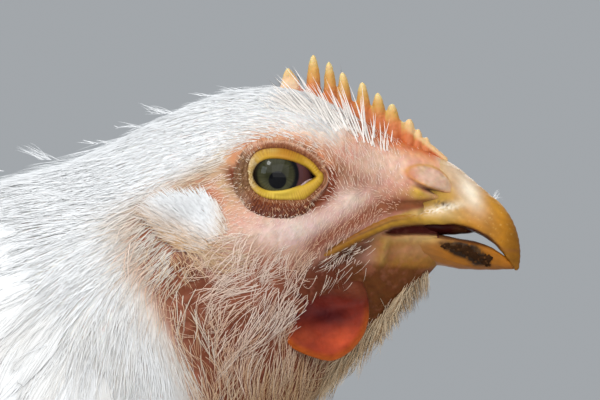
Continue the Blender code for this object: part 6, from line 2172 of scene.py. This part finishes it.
def make_stage():
    """The floor, plain backdrop light, lamps, and the camera where the photo's was."""
    floor = bpy.data.meshes.new("floor")
    size = 3.0
    corners = [(-size, -size, 0), (size, -size, 0), (size, size, 0), (-size, size, 0)]
    floor.from_pydata(corners, [], [(0, 1, 2, 3)])
    plain_floor = bpy.data.materials.new("floor")
    plain_floor.use_nodes = True
    node = plain_floor.node_tree.nodes["Principled BSDF"]
    set_inputs(node, {"Base Color": (0.50, 0.51, 0.52, 1.0), "Roughness": 0.9})
    floor.materials.append(plain_floor)
    link("floor", floor)
    world_light = bpy.data.worlds.new("studio")
    bpy.context.scene.world = world_light
    world_light.use_nodes = True
    node = world_light.node_tree.nodes["Background"]
    set_inputs(node, {"Color": (0.52, 0.55, 0.58, 1.0), "Strength": 0.70})
    head = (0.15, 0.0, 0.30)
    for name, place, aim, size, power, colour in (
        ("key", (-0.20, -0.95, 1.15), head, (1.6, 1.4), 12.0, (1.0, 0.99, 0.97)),
        ("window", (-0.50, -0.57, 1.15), head, (0.22, 0.24), 3.0, (0.98, 0.99, 1.0)),
        ("sky", (-0.91, -0.61, 0.72), head, (0.35, 0.5), 2.2, (0.75, 0.88, 1.0)),
        ("fill", (0.35, -2.0, 0.95), head, (2.8, 2.2), 27.0, (1.0, 0.99, 0.97)),
        ("back", (0.1, 1.3, 1.1), (0.0, 0.0, 0.2), (1.2, 0.8), 14.0, (0.95, 0.98, 1.0)),
    ):
        data = bpy.data.lights.new(name, "AREA")
        data.shape = "RECTANGLE"
        data.size, data.size_y = size
        data.energy = power
        data.color = colour
        made = link(name, data)
        made.location = place
        made.rotation_euler = (Vector(aim) - Vector(place)).to_track_quat("-Z", "Y").to_euler()

    camera = bpy.data.cameras.new("camera")
    made = link("camera", camera)
    camera.sensor_width = 36.0
    camera.lens = camera.sensor_width * CAMERA_DISTANCE / (PHOTO_SIZE[0] * PIXEL * MM)
    camera.clip_start, camera.clip_end = 0.05, 50.0
    centre_x = EYES_X + (PHOTO_SIZE[0] / 2 - EYE_PIXEL[0]) * PIXEL
    centre_z = EYES_Z + (EYE_PIXEL[1] - PHOTO_SIZE[1] / 2) * PIXEL
    made.location = (centre_x * MM, NEAR_CHEEK - CAMERA_DISTANCE, centre_z * MM)
    made.rotation_euler = (math.pi / 2, 0.0, 0.0)
    bpy.context.scene.camera = made
    bpy.context.scene.view_settings.view_transform = "Standard"


OUTER = outer_tree()
make_stage()
make_skin()
LASHES = Coat("lash_bristles", "face_skin")
for side_name, side_sign in SIDES.items():
    make_eye("eye_" + side_name, side_sign)
    make_lids("lids_" + side_name, side_sign, OUTER, LASHES)
    make_wattle("wattle_" + side_name, side_sign, OUTER)
    make_leg(side_name, side_sign)
    make_wing(side_name, side_sign)
    make_thigh(side_name, side_sign)
LASHES.finish(BRISTLE)
make_bill(OUTER)
make_comb()
make_face_bristles()
make_crown()
make_cheeks()
make_ear_tufts()
make_comb_bristles()
make_jaw_bristles()
make_beard()
make_wisps()
make_neck_coat()
make_body_coat()
make_tail()
